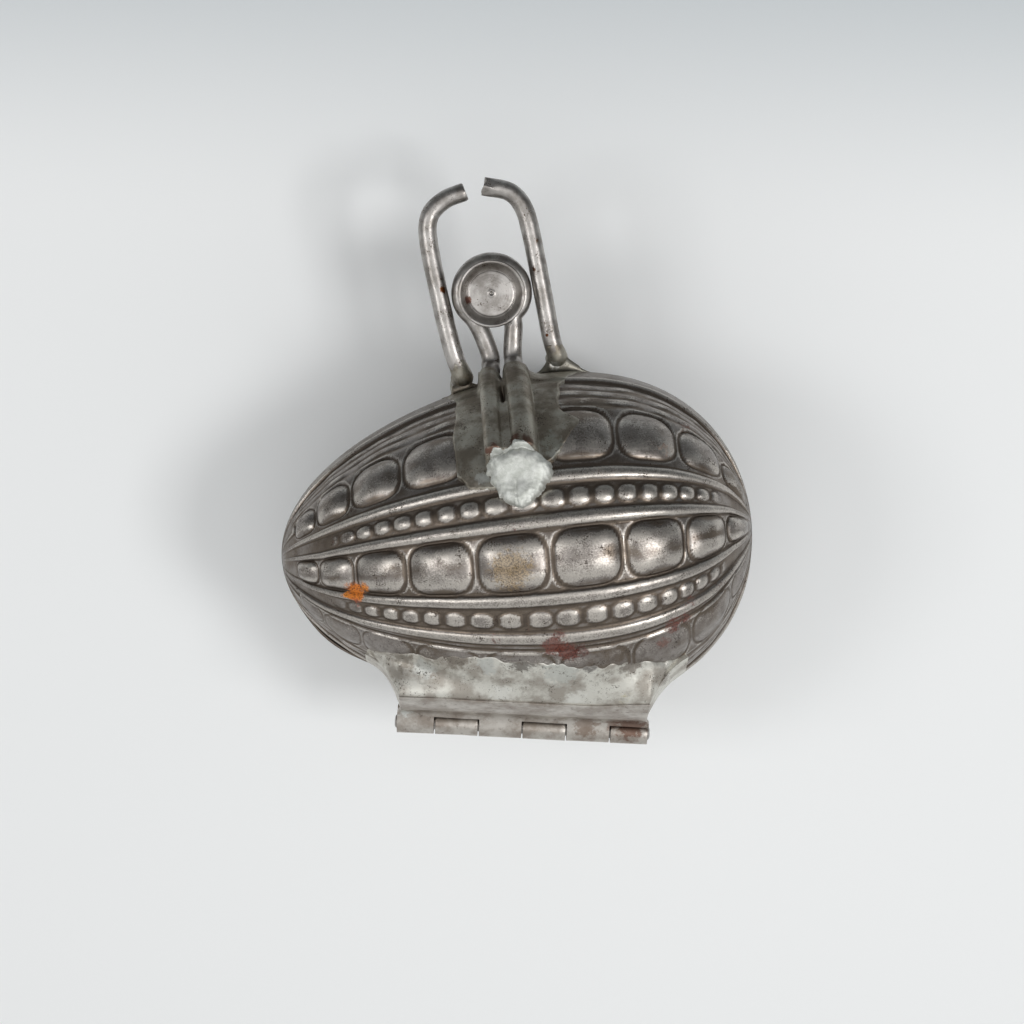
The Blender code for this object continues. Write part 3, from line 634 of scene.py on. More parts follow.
def make_leaf(name, body, side, material, node):
    """Sheet leaf with its own knuckles rolled, and room left for the other leaf's."""
    bm = bmesh.new()
    plate = []
    owner = FRONT
    for low, high in zip(knuckle_ends(), knuckle_ends()[1:]):
        gap = KNUCKLE_GAP / 2 if owner == side else -KNUCKLE_GAP / 2
        low = max(low + gap, HINGE_START)
        high = min(high - gap, HINGE_END)
        steps = 8
        sections = []
        for step in range(steps + 1):
            section, notch = leaf_profile(blend(low, high, step / steps), side)
            sections.append(section)
        plate += sections
        if owner == side:
            add_grid(bm, [section[notch - 1:] for section in sections])
        owner = -owner
    add_grid(bm, [section[:notch] for section in plate])
    bmesh.ops.remove_doubles(bm, verts=bm.verts, dist=0.005 * MM)
    leaf = add_piece(name, bm, body, [material], node)
    sheet = leaf.modifiers.new("sheet", "SOLIDIFY")
    sheet.thickness = LEAF_SHEET
    sheet.offset = 0.0
    edges = leaf.modifiers.new("worn_edges", "BEVEL")
    edges.width = LEAF_BEVEL
    edges.segments = 2
    edges.angle_limit = math.radians(50)
    return leaf


def lathe(bm, profile, steps, place):
    """Turn a profile of (radius, height) pairs about the Z axis of a place."""
    rows = []
    for radius, height in profile:
        turns = [2 * math.pi * step / steps for step in range(steps)]
        rows.append([place @ Vector((radius * math.cos(a), radius * math.sin(a), height)) for a in turns])
    add_grid(bm, rows, closed=True)
    close_up(bm)


def make_pin(material):
    """Pin with its ends lightly hammered over."""
    half = HINGE_LENGTH / 2 + PIN_HEAD
    radius = PIN_DIAMETER / 2
    end = [(0, half), (radius * 0.7, half - 0.05 * MM), (radius, half - 0.3 * MM)]
    profile = end + [(width, -height) for width, height in reversed(end)]
    place = Matrix.Translation((HINGE_MIDDLE, -HINGE_OFFSET, 0)) @ Matrix.Rotation(math.pi / 2, 4, "Y")
    bm = bmesh.new()
    lathe(bm, profile, 32, place)
    pin = add_piece("pin_rod", bm, "back_half", [material], "hinge_pin")
    keep_sharp(pin, 40)


# Wires


def smooth_route(points):
    """Catmull-Rom curve through a wire's own points."""
    points = [Vector(point) for point in points]
    padded = [2 * points[0] - points[1]] + points + [2 * points[-1] - points[-2]]
    route = []
    for a, b, c, d in zip(padded, padded[1:], padded[2:], padded[3:]):
        for step in range(ROUTE_STEPS):
            t = step / ROUTE_STEPS
            square = 2 * a - 5 * b + 4 * c - d
            cube = 3 * b - a - 3 * c + d
            route.append(0.5 * (2 * b + (c - a) * t + square * t * t + cube * t ** 3))
    return route + [points[-1]]


def shell_climb(across, side, lean=0.0):
    """Wire laid on a half shell, from its soldered end down to the rim, then bent outwards."""
    points = []
    for share in (0, 0.5, 1):
        angle = blend(WIRE_END_ANGLE, WIRE_BEND_ANGLE, share)
        points.append(egg_point(turn_at(across + lean * (1 - share)), angle, WIRE_LIFT, side))
    rim = egg_radius(turn_at(across)) + WIRE_LIFT
    return points + [from_egg_axes((across, rim + out, side * off)) for out, off in WIRE_BEND]


def loop_route():
    """Up one leg, round the ring and down the other."""
    left = shell_climb(LEG_MIDDLE - LEG_SPACING / 2, FRONT, LEFT_LEG_LEAN)
    right = shell_climb(LEG_MIDDLE + LEG_SPACING / 2, FRONT, RIGHT_LEG_LEAN)
    for leg, across in ((left, NECK_LEFT), (right, NECK_RIGHT)):
        leg.append(from_egg_axes(RING_CENTRE + Vector((across, -NECK_DROP, 0))))
    steps = 12
    sweep = 2 * math.pi - 2 * RING_NECK
    ring = []
    for step in range(steps + 1):
        angle = -math.pi / 2 - RING_NECK - sweep * step / steps
        offset = Vector((math.cos(angle), math.sin(angle), 0)) * RING_RADIUS
        ring.append(from_egg_axes(RING_CENTRE + offset))
    return left + ring + right[::-1]


def arm_route(across, bends, heading):
    """A back arm: up the back shell, out from the rim, past the ring, and bent in over it."""
    grip = RING_CENTRE.x + heading * ARM_GRIP
    bends = [Vector((grip + along, EGG_WIDTH / 2 + out, 0)) for along, out in bends]
    points = shell_climb(across, BACK)
    rim = Vector((across, egg_radius(turn_at(across)), 0))
    points[-1] = from_egg_axes(bends[0] - (bends[0] - rim) * ARM_LEAN)
    return points + [from_egg_axes(bend) for bend in bends]


def cut_square(offset, from_tip):
    """A tip sawn off, its edge barely broken."""
    return offset * (1 - 0.1 * smooth_step(0.35 * MM, 0, from_tip))


def pinch(offset, from_tip):
    """A tip nipped by pliers: two flats that meet in a ridge on its upper side, and two below."""
    depth = WIRE / 2 * blend(1.0, PINCH_DEPTH, smooth_step(PINCH_LENGTH, 0.4 * PINCH_LENGTH, from_tip))
    for across in (-1, 1):
        for up in (-1, 1):
            flat = Vector((across * math.sin(PINCH_ANGLE), 0, up * math.cos(PINCH_ANGLE)))
            flat = EGG_AXES @ Matrix.Rotation(PINCH_HEADING, 3, "Z") @ flat
            offset = offset - flat * max(0.0, offset.dot(flat) - depth)
    return offset


def sweep(path, ring_point):
    """Rings of points round a path; ring_point gives each one from its place, heading and direction out."""
    across = (path[1] - path[0]).orthogonal()
    rows = []
    for before, point, after in zip(path[:1] + path, path, path[1:] + path[-1:]):
        heading = (after - before).normalized()
        across = (across - heading * across.dot(heading)).normalized()
        rise = heading.cross(across)
        angles = [2 * math.pi * side / WIRE_SIDES for side in range(WIRE_SIDES)]
        rows.append([ring_point(point, heading, across * math.cos(a) + rise * math.sin(a)) for a in angles])
    return rows


def make_wire(name, body, route, material, node, seed, shape_tip=cut_square, raggedness=0.0):
    """Drawn wire, a little uneven from being bent by hand."""
    path = smooth_route(route)

    def ring_point(point, heading, out):
        from_tip = (path[-1] - point).length
        radius = WIRE / 2 + 0.05 * MM * (bumps(point + out * WIRE, 3.5 * MM, seed) - 1)
        spot = point + shape_tip(out * radius, from_tip)
        near = smooth_step(1.6 * MM, 0, from_tip)
        return spot + heading * raggedness * near * bumps(spot, 1.3 * MM, seed + 1)

    rows = sweep(path, ring_point)
    caps = []
    for rim in (rows[0], rows[-1]):
        middle = sum(rim, Vector()) / WIRE_SIDES
        caps.append([[middle + (spot - middle) * share for spot in rim] for share in (0.85, 0.45, 0.0)])
    bm = bmesh.new()
    add_grid(bm, caps[0][::-1] + rows + caps[1], closed=True)
    close_up(bm)
    wire = add_piece(name, bm, body, [material], node)
    keep_sharp(wire, 45)


def cup_profile():
    """Radius and height of the cup: up its outside, over the lip, down the wall and over the floor."""
    low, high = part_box("catch_cup")
    base = low.z - CENTRE.z
    top = high.z - CENTRE.z
    rim = CUP_DIAMETER / 2
    foot = rim - CUP_WALL_SPREAD
    seat = base + CUP_DISH
    profile = [(0, base), (foot * 0.6, base + 0.15 * MM), (foot - 0.3 * MM, seat - 0.05 * MM), (foot, seat)]
    profile += [(foot + 0.4 * MM, seat + 0.4 * MM), (rim - 0.5 * MM, top - 0.7 * MM), (rim, top - 0.35 * MM)]
    profile += [(rim - 0.05 * MM, top - 0.1 * MM), (rim - 0.3 * MM, top), (rim - 0.6 * MM, top - 0.05 * MM)]
    profile += [(rim - 0.85 * MM, top - 0.3 * MM), (rim - 1.3 * MM, top - 1.0 * MM)]
    corner = CUP_FLOOR_DIAMETER / 2
    level = seat + CUP_SHEET
    profile += [(corner + 0.3 * MM, level + 0.45 * MM), (corner + 0.08 * MM, level + 0.12 * MM)]
    profile += [(corner - 0.1 * MM, level), (corner - 0.25 * MM, level + 0.1 * MM)]
    profile.append((corner - 0.45 * MM, level))
    steps = 30
    for step in range(steps + 1):
        radius = (corner - 0.55 * MM) * (1 - step / steps)
        crown = CUP_CROWN * (1 - (radius / corner) ** 2)
        turning = 0.012 * MM * math.cos(2 * math.pi * radius / (0.55 * MM))
        punch = 0.16 * MM * bell(radius - 0.6 * MM, 0.22 * MM)
        pit = 0.2 * MM * bell(radius, 0.35 * MM)
        profile.append((radius, level + 0.02 * MM + crown + turning + punch - pit))
    return profile


def make_cup(material):
    """Dished cup spun from sheet, with a rolled lip and a punch mark in the middle of its floor."""
    bm = bmesh.new()
    lathe(bm, cup_profile(), 80, Matrix.Translation(from_egg_axes(RING_CENTRE)))
    cup = add_piece("dished_cup", bm, "front_half", [material], "catch_cup")
    keep_sharp(cup, 60)


# Solder


def sleeve_rows(route):
    """Solder drawn up round an arm where it turns away from the rim, thinning to nothing."""
    path = smooth_route(route)[3 * ROUTE_STEPS - 2:]
    end = path[0]

    def ring_point(point, heading, out):
        far = smooth_step(0, SLEEVE_LENGTH, (point - end).length)
        thick = blend(SLEEVE, -0.1 * MM, far) + 0.1 * MM * bumps(point + out * WIRE, 1.8 * MM, 27)
        return point + out * (WIRE / 2 + thick)

    return sweep([point for point in path if (point - end).length < SLEEVE_LENGTH], ring_point)


def add_solder(name, body, side, material, node, spans, steps, top_lift, sleeve=()):
    """Solder laid on a shell: a closed skin over a patch of the egg, and a sleeve round a wire.

    top_lift gives its height over the egg; where that is under the pressed sheet, the solder has run out.
    """
    (low_across, high_across), (low_degrees, high_degrees) = spans
    across_steps, angle_steps = steps
    sections = []
    for column in range(across_steps + 1):
        across = blend(low_across, high_across, column / across_steps)
        turn = turn_at(across)
        top = []
        floor = []
        for line in range(angle_steps + 1):
            angle = math.radians(blend(low_degrees, high_degrees, line / angle_steps))
            sheet = sheet_lift(turn, angle, side)
            lift = max(top_lift(across, angle, sheet), sheet - SOLDER_GONE)
            top.append(off_parting(egg_point(turn, angle, lift, side), side))
            floor.append(off_parting(egg_point(turn, angle, sheet - SOLDER_UNDER, side), side))
        sections.append(top + floor[::-1])
    bm = bmesh.new()
    made = add_grid(bm, sections, closed=True)
    for line in (made[0], made[-1]):
        back = line[::-1]
        for step in range(angle_steps):
            bm.faces.new((line[step], line[step + 1], back[step + 1], back[step]))
    if sleeve:
        rings = add_grid(bm, sleeve, closed=True)
        bm.faces.new(rings[0])
        bm.faces.new(rings[-1])
    close_up(bm)
    return add_piece(name, bm, body, [material], node)


def run_out(sheet, level, inside):
    """Lift of solder that ends in a rounded edge: inside is the distance in from its outline."""
    filled = max(level, sheet + 0.12 * MM)
    return blend(sheet - 0.3 * MM, filled, math.sqrt(smooth_step(0, SOLDER_EDGE, inside)))


def ridge(over, left_foot, right_foot):
    """Flat-topped ridge of solder over a wire, 0 to 1, at a distance over its middle."""
    share = abs(over) / (right_foot if over > 0 else left_foot)
    return 0.0 if share >= 1 else (1 - share ** 3) ** 0.5


def fillet(distance, reach):
    """Solder drawn up beside a wire at the rim, 0 to 1."""
    return max(0.0, 1 - max(0.0, distance) / reach) ** 2.5


def sleeve_height(degrees, collar):
    """The wires come out of their solder where they bend away from the shell."""
    return blend(WIRE_LIFT + WIRE / 2 + SOLDER_SKIN, collar, smooth_step(*COLLAR_FROM, degrees))


def leg_solder_lift(across, angle, sheet):
    """A sheet of solder on the front shell, drawn up over the loop's two legs."""
    degrees = math.degrees(angle)
    place = Vector((across, angle * EGG_WIDTH / 2, 0))
    left = follow(LEG_SHEET_LEFT, degrees) * MM
    right = follow(LEG_SHEET_RIGHT, degrees) * MM
    ragged = rough(place, (0.45, 2.6, 11), (0.25, 0.9, 12))
    level = -0.35 * MM + rough(place, (0.16, 4, 13), (0.05, 1.3, 14))
    lift = run_out(sheet, level, min(across - left, right - across) + ragged)
    near = smooth_step(*LEGS_COVERED, degrees)
    lean = (WIRE_BEND_ANGLE - angle) / (WIRE_BEND_ANGLE - WIRE_END_ANGLE)
    over_left = across - LEG_MIDDLE + LEG_SPACING / 2 - LEFT_LEG_LEAN * lean
    over_right = across - LEG_MIDDLE - LEG_SPACING / 2 - RIGHT_LEG_LEAN * lean
    tall = sleeve_height(degrees, LEG_COLLAR)
    valley = 0.0
    if over_left > 0 > over_right:
        slits = smooth_step(70, 76, degrees) + smooth_step(56, 60, degrees) * smooth_step(68, 64, degrees)
        valley = 0.72 - 0.5 * min(1.0, slits) * bell(over_left + over_right, 0.7 * MM)
    covered = max(ridge(over_left, 2.3 * MM, 2.3 * MM), ridge(over_right, 2.3 * MM, 3.3 * MM), valley)
    lift = max(lift, blend(lift, tall * covered, near * min(1.0, covered * 3)))
    beside = 0.0
    if over_left < 0:
        beside = fillet(-over_left - 2.1 * MM, LEG_FILLETS[0])
    elif over_right > 0:
        beside = fillet(over_right - 2.1 * MM, LEG_FILLETS[1])
    return blend(lift, max(lift, LEG_COLLAR), smooth_step(72, 87, degrees) * beside)


def arm_solder_lift(middle, collar, fillets):
    """Solder that holds an arm down on the back shell and climbs it a little at the rim."""
    def lift_at(across, angle, sheet):
        degrees = math.degrees(angle)
        place = Vector((across, angle * EGG_WIDTH / 2, 0.02))
        over = across - middle
        ragged = rough(place, (0.6, 3.2, 21), (0.25, 0.9, 22))
        inside = min(ARM_SHEET_HALF - abs(over), (degrees - ARM_SHEET_TOP) * DEGREE) + ragged
        level = -0.3 * MM + rough(place, (0.2, 4, 23), (0.05, 1.3, 24))
        lift = run_out(sheet, level, inside)
        foot = blend(2.6 * MM, WIRE / 2, smooth_step(74, 84, degrees))
        covered = ridge(over, foot, foot) * smooth_step(ARM_SHEET_TOP, ARM_SHEET_TOP + 2, degrees)
        lift = max(lift, blend(lift, sleeve_height(degrees, collar) * covered, min(1.0, covered * 3)))
        beside = fillet(abs(over) - 0.8 * WIRE / 2, fillets[1] if over > 0 else fillets[0])
        return blend(lift, max(lift, collar), smooth_step(68, 87, degrees) * beside)
    return lift_at


def make_arm_solder(tag, middle, route, material, collar, fillets):
    """The solder of one arm of the back half."""
    (low, high), degrees = ARM_PATCH
    add_solder(f"{tag}_arm_solder_sheet", "back_half", BACK, material, f"{tag}_arm_solder",
               ((middle + low, middle + high), degrees), (90, 130),
               arm_solder_lift(middle, collar, fillets), sleeve_rows(route))


def lump_lift(across, angle, sheet):
    """Thick bright lump of solder with a lobed outline and a cracked, frosted top."""
    over = across - LUMP_ACROSS
    up = (angle - LUMP_ANGLE) * EGG_WIDTH / 2
    place = Vector((across, angle * EGG_WIDTH / 2, 0.04))
    sector = math.atan2(up, over) / (2 * math.pi) * len(LUMP_REACH) % len(LUMP_REACH)
    after = (int(sector) + 1) % len(LUMP_REACH)
    reach = blend(LUMP_REACH[int(sector)], LUMP_REACH[after], smooth_step(0, 1, sector % 1)) * MM
    reach += rough(place, (0.6, 1.8, 30), (0.3, 0.7, 33))
    share = math.hypot(over, up) / reach
    under = max(sheet, leg_solder_lift(across, angle, sheet))
    if share >= 1:
        return under - 0.3 * MM
    dome = (1 - share ** 3.4) ** 0.5
    lobes = rough(place, (0.25, 3.4, 31), (0.08, 1.2, 32))
    crack = 0.3 * MM * bell(over + 0.9 * MM, 0.22 * MM) * smooth_step(-1.5 * MM, -3 * MM, up)
    height = blend(LUMP_HEIGHT, LUMP_CLIMB, smooth_step(-2.5 * MM, 4.5 * MM, up))
    return max(under + (LUMP_SKIN + lobes) * dome, -0.8 * MM + (height + lobes - crack) * dome)


def make_lump():
    """The bright lump over the legs' ends."""
    (left, right), (low, high) = LUMP_PATCH
    middle = math.degrees(LUMP_ANGLE)
    spans = ((LUMP_ACROSS + left, LUMP_ACROSS + right), (middle + low, middle + high))
    add_solder("solder_lump", "front_half", FRONT, bright_solder(), "loop_end_solder",
               spans, (110, 120), lump_lift)


def flood_edge(x, side):
    """Degrees from the crown where the hinge's solder ends on the shell, at x along the hinge."""
    off = x - HINGE_MIDDLE
    far = abs(off) / (34 * MM if off > 0 else 35 * MM)
    ragged = 2.2 * bumps((x, side, 0), 4.5 * MM, 41) + 1.6 * bumps((x, side, 0), 1.5 * MM, 42)
    short = 3.0 * bell(off - 11 * MM, 9 * MM)
    return FLOOD_EDGE + FLOOD_WANE * min(1.0, far) ** 3 + short + ragged


def flood_on_shell(x, angle, level_share, skin, side):
    """A point of the hinge's solder where it lies on the shell."""
    turn = shell_turn(x, -angle)
    sheet = sheet_lift(turn, -angle, side)
    return egg_point(turn, -angle, blend(sheet, FLOOD_LEVEL, level_share) + skin, side)


def hinge_solder_ring(x, side):
    """Section of the solder behind a leaf and over the shell, at x along the hinge."""
    past_end = max(HINGE_START - x, x - HINGE_END, -FLOOD_INSET) + FLOOD_INSET
    hold = max(0.0, 1 - past_end / (FLOOD_REACH + FLOOD_INSET)) ** 3
    edge = math.radians(flood_edge(x, side))
    top = leaf_top(x)
    reach = FLANK + LEAF_STANDOFF
    over_leaf = reach + FLOOD_OVER_LEAF
    flood = []
    steps = 36
    for step in range(steps + 1):
        angle = blend(edge, top, step / steps)
        into = math.degrees(angle - edge)
        place = Vector((x, angle * EGG_WIDTH / 2, 0.06 * side))
        skin = blend(-0.25 * MM, 0.14 * MM, math.sqrt(smooth_step(0, 0.9, into)))
        skin += rough(place, (0.15, 4.5, 43), (0.05, 1.4, 44))
        point = flood_on_shell(x, angle, smooth_step(1, 11, into), skin, side)
        on_leaf = Vector((x, -over_leaf * math.sin(angle), side * over_leaf * math.cos(angle)))
        climb = smooth_step(math.radians(-10), 0, angle - top) ** 1.5
        flood.append(blend(point, on_leaf, climb * hold))
    leaf_side = []
    steps = 8
    for step in range(steps + 1):
        angle = blend(top, LEAF_BEND_ANGLE, step / steps)
        leaf_side.append((-reach * math.sin(angle), reach * math.cos(angle), angle))
    pin_side = -HINGE_OFFSET + BARREL_DIAMETER / 2 + CLEARANCE
    last_y, last_z, _ = leaf_side[-1]
    for share in (0.5, 1.0):
        angle = blend(LEAF_BEND_ANGLE, math.radians(86), share)
        leaf_side.append((blend(last_y, pin_side, share), blend(last_z, NOTCH_HEIGHT, share), angle))
    leaf_side.append((pin_side, PARTING_GAP / 2, math.radians(90)))
    outer = []
    for y, z, angle in leaf_side:
        on_shell = flood_on_shell(x, angle, 0.85, 0.16 * MM, side)
        outer.append(blend(on_shell, Vector((x, y, side * z)), hold))
    inner = []
    steps = 14
    for step in range(steps + 1):
        inner.append(flood_on_shell(x, blend(math.radians(90), edge, step / steps), 0.0, -SOLDER_UNDER, side))
    return [off_parting(point, side) for point in flood + outer + inner]


def make_hinge_solder(name, body, side, material, node):
    """Solder run in behind a hinge leaf and out over the shell, thinning past the hinge's ends."""
    steps = 170
    low = HINGE_START - FLOOD_REACH
    high = HINGE_END + FLOOD_REACH
    bm = bmesh.new()
    rings = [hinge_solder_ring(blend(low, high, step / steps), side) for step in range(steps + 1)]
    made = add_grid(bm, rings, closed=True)
    bm.faces.new(made[0])
    bm.faces.new(made[-1])
    close_up(bm)
    piece = add_piece(name, bm, body, [material], node)
    keep_sharp(piece, 60)


# The camera comes before the finishes, because stains are placed by what it sees


def camera_axes():
    """Right, up and back vectors of the camera at the egg's middle."""
    up = Vector((0, math.cos(CAMERA_TILT), -math.sin(CAMERA_TILT)))
    right = Vector((1, 0, 0))
    turned_right = right * math.cos(CAMERA_ROLL) + up * math.sin(CAMERA_ROLL)
    turned_up = up * math.cos(CAMERA_ROLL) - right * math.sin(CAMERA_ROLL)
    return turned_right, turned_up, right.cross(up)


RIGHT, UP, BACKWARD = camera_axes()
CAMERA_PLACE = CENTRE + BACKWARD * CAMERA_DISTANCE


def pixel_ray(x, y):
    """Direction from the camera to a pixel of the photograph."""
    over = (x - EGG_PIXEL.x) * PIXEL
    down = (y - EGG_PIXEL.y) * PIXEL
    return (CENTRE + RIGHT * over - UP * down - CAMERA_PLACE).normalized()


def egg_at_pixel(x, y, lift=0.0):
    """The point of the front half that the photograph shows at a pixel, lift above the egg."""
    ray = pixel_ray(x, y)
    near = CAMERA_DISTANCE - EGG_WIDTH
    far = CAMERA_DISTANCE * 1.02
    back = EGG_AXES.inverted()
    for _ in range(30):
        middle = (near + far) / 2
        local = back @ (CAMERA_PLACE + ray * middle - CENTRE)
        if math.hypot(local.y, local.z) > egg_radius(turn_at(local.x)) + lift and local.z > 0:
            near = middle
        else:
            far = middle
    return CAMERA_PLACE + ray * near


def plane_at_pixel(x, y, height):
    """The point that the photograph shows at a pixel, at a height over the parting plane."""
    ray = pixel_ray(x, y)
    return CAMERA_PLACE + ray * ((CENTRE.z + height - CAMERA_PLACE.z) / ray.z)


def make_camera():
    data = bpy.data.cameras.new("camera")
    camera = add_object("camera", data)
    forward = pixel_ray(PHOTO_SIZE / 2, PHOTO_SIZE / 2)
    right = (RIGHT - forward * RIGHT.dot(forward)).normalized()
    turned = Matrix((right, right.cross(forward), -forward)).transposed().to_4x4()
    camera.matrix_world = Matrix.Translation(CAMERA_PLACE) @ turned
    data.sensor_width = 36.0
    data.lens = data.sensor_width * CAMERA_DISTANCE / (PHOTO_SIZE * PIXEL)
    bpy.context.scene.camera = camera


# Finishes


def linear(hex_colour):
    """An sRGB hex colour as Blender's linear RGBA."""
    channels = [int(hex_colour[place:place + 2], 16) / 255 for place in (0, 2, 4)]
    return [c / 12.92 if c <= 0.04045 else ((c + 0.055) / 1.055) ** 2.4 for c in channels] + [1.0]


def add_node(owner, kind, inputs=None, output=0, **settings):
    """Add a node with its settings; inputs, by name or number, are sockets to link or plain values."""
    node = owner.node_tree.nodes.new(kind)
    for name, value in settings.items():
        setattr(node, name, value)
    for name, value in (inputs or {}).items():
        if isinstance(value, bpy.types.NodeSocket):
            owner.node_tree.links.new(value, node.inputs[name])
        else:
            node.inputs[name].default_value = value
    return node.outputs[output] if node.outputs else None


NOISE = "ShaderNodeTexNoise"
RANGE = "ShaderNodeMapRange"
MATH = "ShaderNodeMath"
VECTOR_MATH = "ShaderNodeVectorMath"
MIX = "ShaderNodeMix"
COORDINATES = "ShaderNodeTexCoord"
SHARE, A, B, MIXED = 0, 6, 7, 2  # a colour mix's sockets: its factor, its colours and its result
COLOURS = {"data_type": "RGBA"}
SMOOTH = {"interpolation_type": "SMOOTHSTEP"}
SPREAD = {"From Min": 0.3, "From Max": 0.7}  # most of a noise's values lie between these


def new_surface(name, *patterns):
    """A material, the place on its piece, and noise patterns given as (size in mm, detail, roughness)."""
    material = bpy.data.materials.new(name)
    material.use_nodes = True
    material.node_tree.nodes.clear()
    place = add_node(material, COORDINATES, output="Object")
    noises = []
    for size, detail, roughness in patterns:
        inputs = {"Vector": place, "Scale": 1 / (size * MM), "Detail": detail, "Roughness": roughness}
        noises.append(add_node(material, NOISE, inputs))
    return material, place, *noises


def add_shader(material, inputs):
    shader = add_node(material, "ShaderNodeBsdfPrincipled", inputs)
    add_node(material, "ShaderNodeOutputMaterial", {"Surface": shader})
    return material


def finish_metal(material, colour, metallic, roughness, height, strength, depth):
    """Give a metal its shader, bumped by a height pattern whose depth is in mm."""
    bump = {"Strength": strength, "Distance": depth * MM, "Height": height}
    normal = add_node(material, "ShaderNodeBump", bump)
    return add_shader(material, {
        "Base Color": colour, "Metallic": metallic, "Roughness": roughness, "Normal": normal,
    })


def lay_over(owner, colour, film, value, low, high, most=1.0):
    """Lay a film over a colour as a value goes from low to high; gives the colour and the film's mask."""
    limits = {"Value": value, "From Min": low, "From Max": high, "To Max": most}
    mask = add_node(owner, RANGE, limits, **SMOOTH)
    return add_node(owner, MIX, {SHARE: mask, A: colour, B: film}, MIXED, **COLOURS), mask


def lay_specks(material, colour, film, place, size, amount, seed):
    """Lay a film in fine specks that come in patches; amount is the share of the noise that they take."""
    moved = add_node(material, VECTOR_MATH, {0: place, 1: [seed * 0.37] * 3}, operation="ADD")
    scale = 1 / (size * MM)
    fine = add_node(material, NOISE, {"Vector": moved, "Scale": scale, "Detail": 3.0, "Roughness": 0.7})
    patch = add_node(material, NOISE, {"Vector": moved, "Scale": 0.12 * scale, "Detail": 2.0})
    both = add_node(material, MATH, {0: patch, 1: 0.55, 2: fine}, operation="MULTIPLY_ADD")
    return lay_over(material, colour, film, both, 0.93 - amount, 0.99 - amount)


def add_stain(material, place, centre, radius, ragged, size, strength):
    """Mask of a ragged spot round a point, 0 to its strength; its sizes are in mm."""
    pattern = {"Vector": place, "Scale": 1 / (size * MM), "Detail": 6.0, "Roughness": 0.7}
    shift = add_node(material, NOISE, pattern)
    distance = add_node(material, VECTOR_MATH, {0: place, 1: centre}, "Value", operation="DISTANCE")
    distance = add_node(material, MATH, {0: shift, 1: ragged * MM, 2: distance}, operation="MULTIPLY_ADD")
    edge = (radius + ragged / 2) * MM
    limits = {"Value": distance, "From Min": edge * 1.08, "From Max": edge * 0.86, "To Max": strength}
    return add_node(material, RANGE, limits, **SMOOTH)


def lay_spots(material, colour, place, spots, ragged, size):
    """Lay ragged spots over a colour, each given as (its middle, radius in mm, hex colour, strength)."""
    for centre, radius, film, strength in spots:
        mask = add_stain(material, place, centre, radius, ragged * radius, size, strength)
        colour = add_node(material, MIX, {SHARE: mask, A: colour, B: linear(film)}, MIXED, **COLOURS)
    return colour


def aged_tinplate():
    """Tinplate pressed to shape, then handled for a century: satin grey with soft broad highlights.

    A brown film sits between the bosses, painted shade darkens the creases, edges are lightened partly
    as rubbed wear and partly as painted glints, small dark pits come in patches, and rust has broken
    through in a few places.
    """
    material, place, cloud, mottle, grain = new_surface(
        "aged_tinplate", (8, 6.0, 0.6), (1.8, 6.0, 0.7), (0.35, 4.0, 0.75))
    relief = add_node(material, "ShaderNodeAttribute", output="Fac", attribute_name="relief")
    low = add_node(material, MATH, {0: relief, 1: -0.5, 2: cloud}, operation="MULTIPLY_ADD")
    colour, _ = lay_over(material, linear("8b8580"), linear("6d6359"), low, 0.12, 0.36)
    colour, _ = lay_over(material, colour, linear("5f564f"), mottle, 0.45, 0.72, 0.6)
    # painted shade: the creases are darkened where the relief is low
    colour, sunk = lay_over(material, colour, linear("362e28"), relief, 0.28, 0.0, 0.4)
    # edges lightened where the relief is high: partly rubbed wear, partly painted glints
    wear_and_glint = add_node(material, MATH, {0: grain, 1: 0.9, 2: relief}, operation="MULTIPLY_ADD")
    colour, _ = lay_over(material, colour, linear("c4beb6"), wear_and_glint, 1.12, 1.45, 0.8)
    colour, pits = lay_specks(material, colour, linear("463c35"), place, 0.3, 0.03, 1)
    roughness = add_node(material, RANGE, {"Value": mottle, **SPREAD, "To Min": 0.28, "To Max": 0.42})
    roughness = add_node(material, MATH, {0: sunk, 1: 0.2, 2: roughness}, operation="MULTIPLY_ADD")
    metallic = add_node(material, RANGE, {"Value": sunk, "To Min": 1.0, "To Max": 0.8})
    crumbly = {"Value": grain, "From Min": 0.40, "From Max": 0.55, "To Min": 0.3}
    crumbs = add_node(material, RANGE, crumbly, **SMOOTH)
    for pixel, radius, film, ragged, strength in STAINS:
        share = add_stain(material, place, egg_at_pixel(*pixel), radius, 3 * ragged, 0.9, strength)
        rust = add_node(material, VECTOR_MATH, {0: linear(film)[:3], 1: crumbs}, operation="MULTIPLY")
        colour = add_node(material, MIX, {SHARE: share, A: colour, B: rust}, MIXED, **COLOURS)
        bare = add_node(material, RANGE, {"Value": share, "To Min": 1.0, "To Max": 0.1})
        metallic = add_node(material, MATH, {0: metallic, 1: bare}, operation="MULTIPLY")
        roughness = add_node(material, MATH, {0: share, 1: 0.35, 2: roughness}, operation="MULTIPLY_ADD")
    speckled = {"Value": grain, "From Min": 0.35, "From Max": 0.65, "To Min": 0.90, "To Max": 1.09}
    speckle = add_node(material, RANGE, speckled)
    colour = add_node(material, VECTOR_MATH, {0: colour, 1: speckle}, operation="MULTIPLY")
    height = add_node(material, MATH, {0: grain, 1: 0.5, 2: mottle}, operation="MULTIPLY_ADD")
    height = add_node(material, MATH, {0: pits, 1: -0.6, 2: height}, operation="MULTIPLY_ADD")
    return finish_metal(material, colour, metallic, roughness, height, 0.45, 0.12)


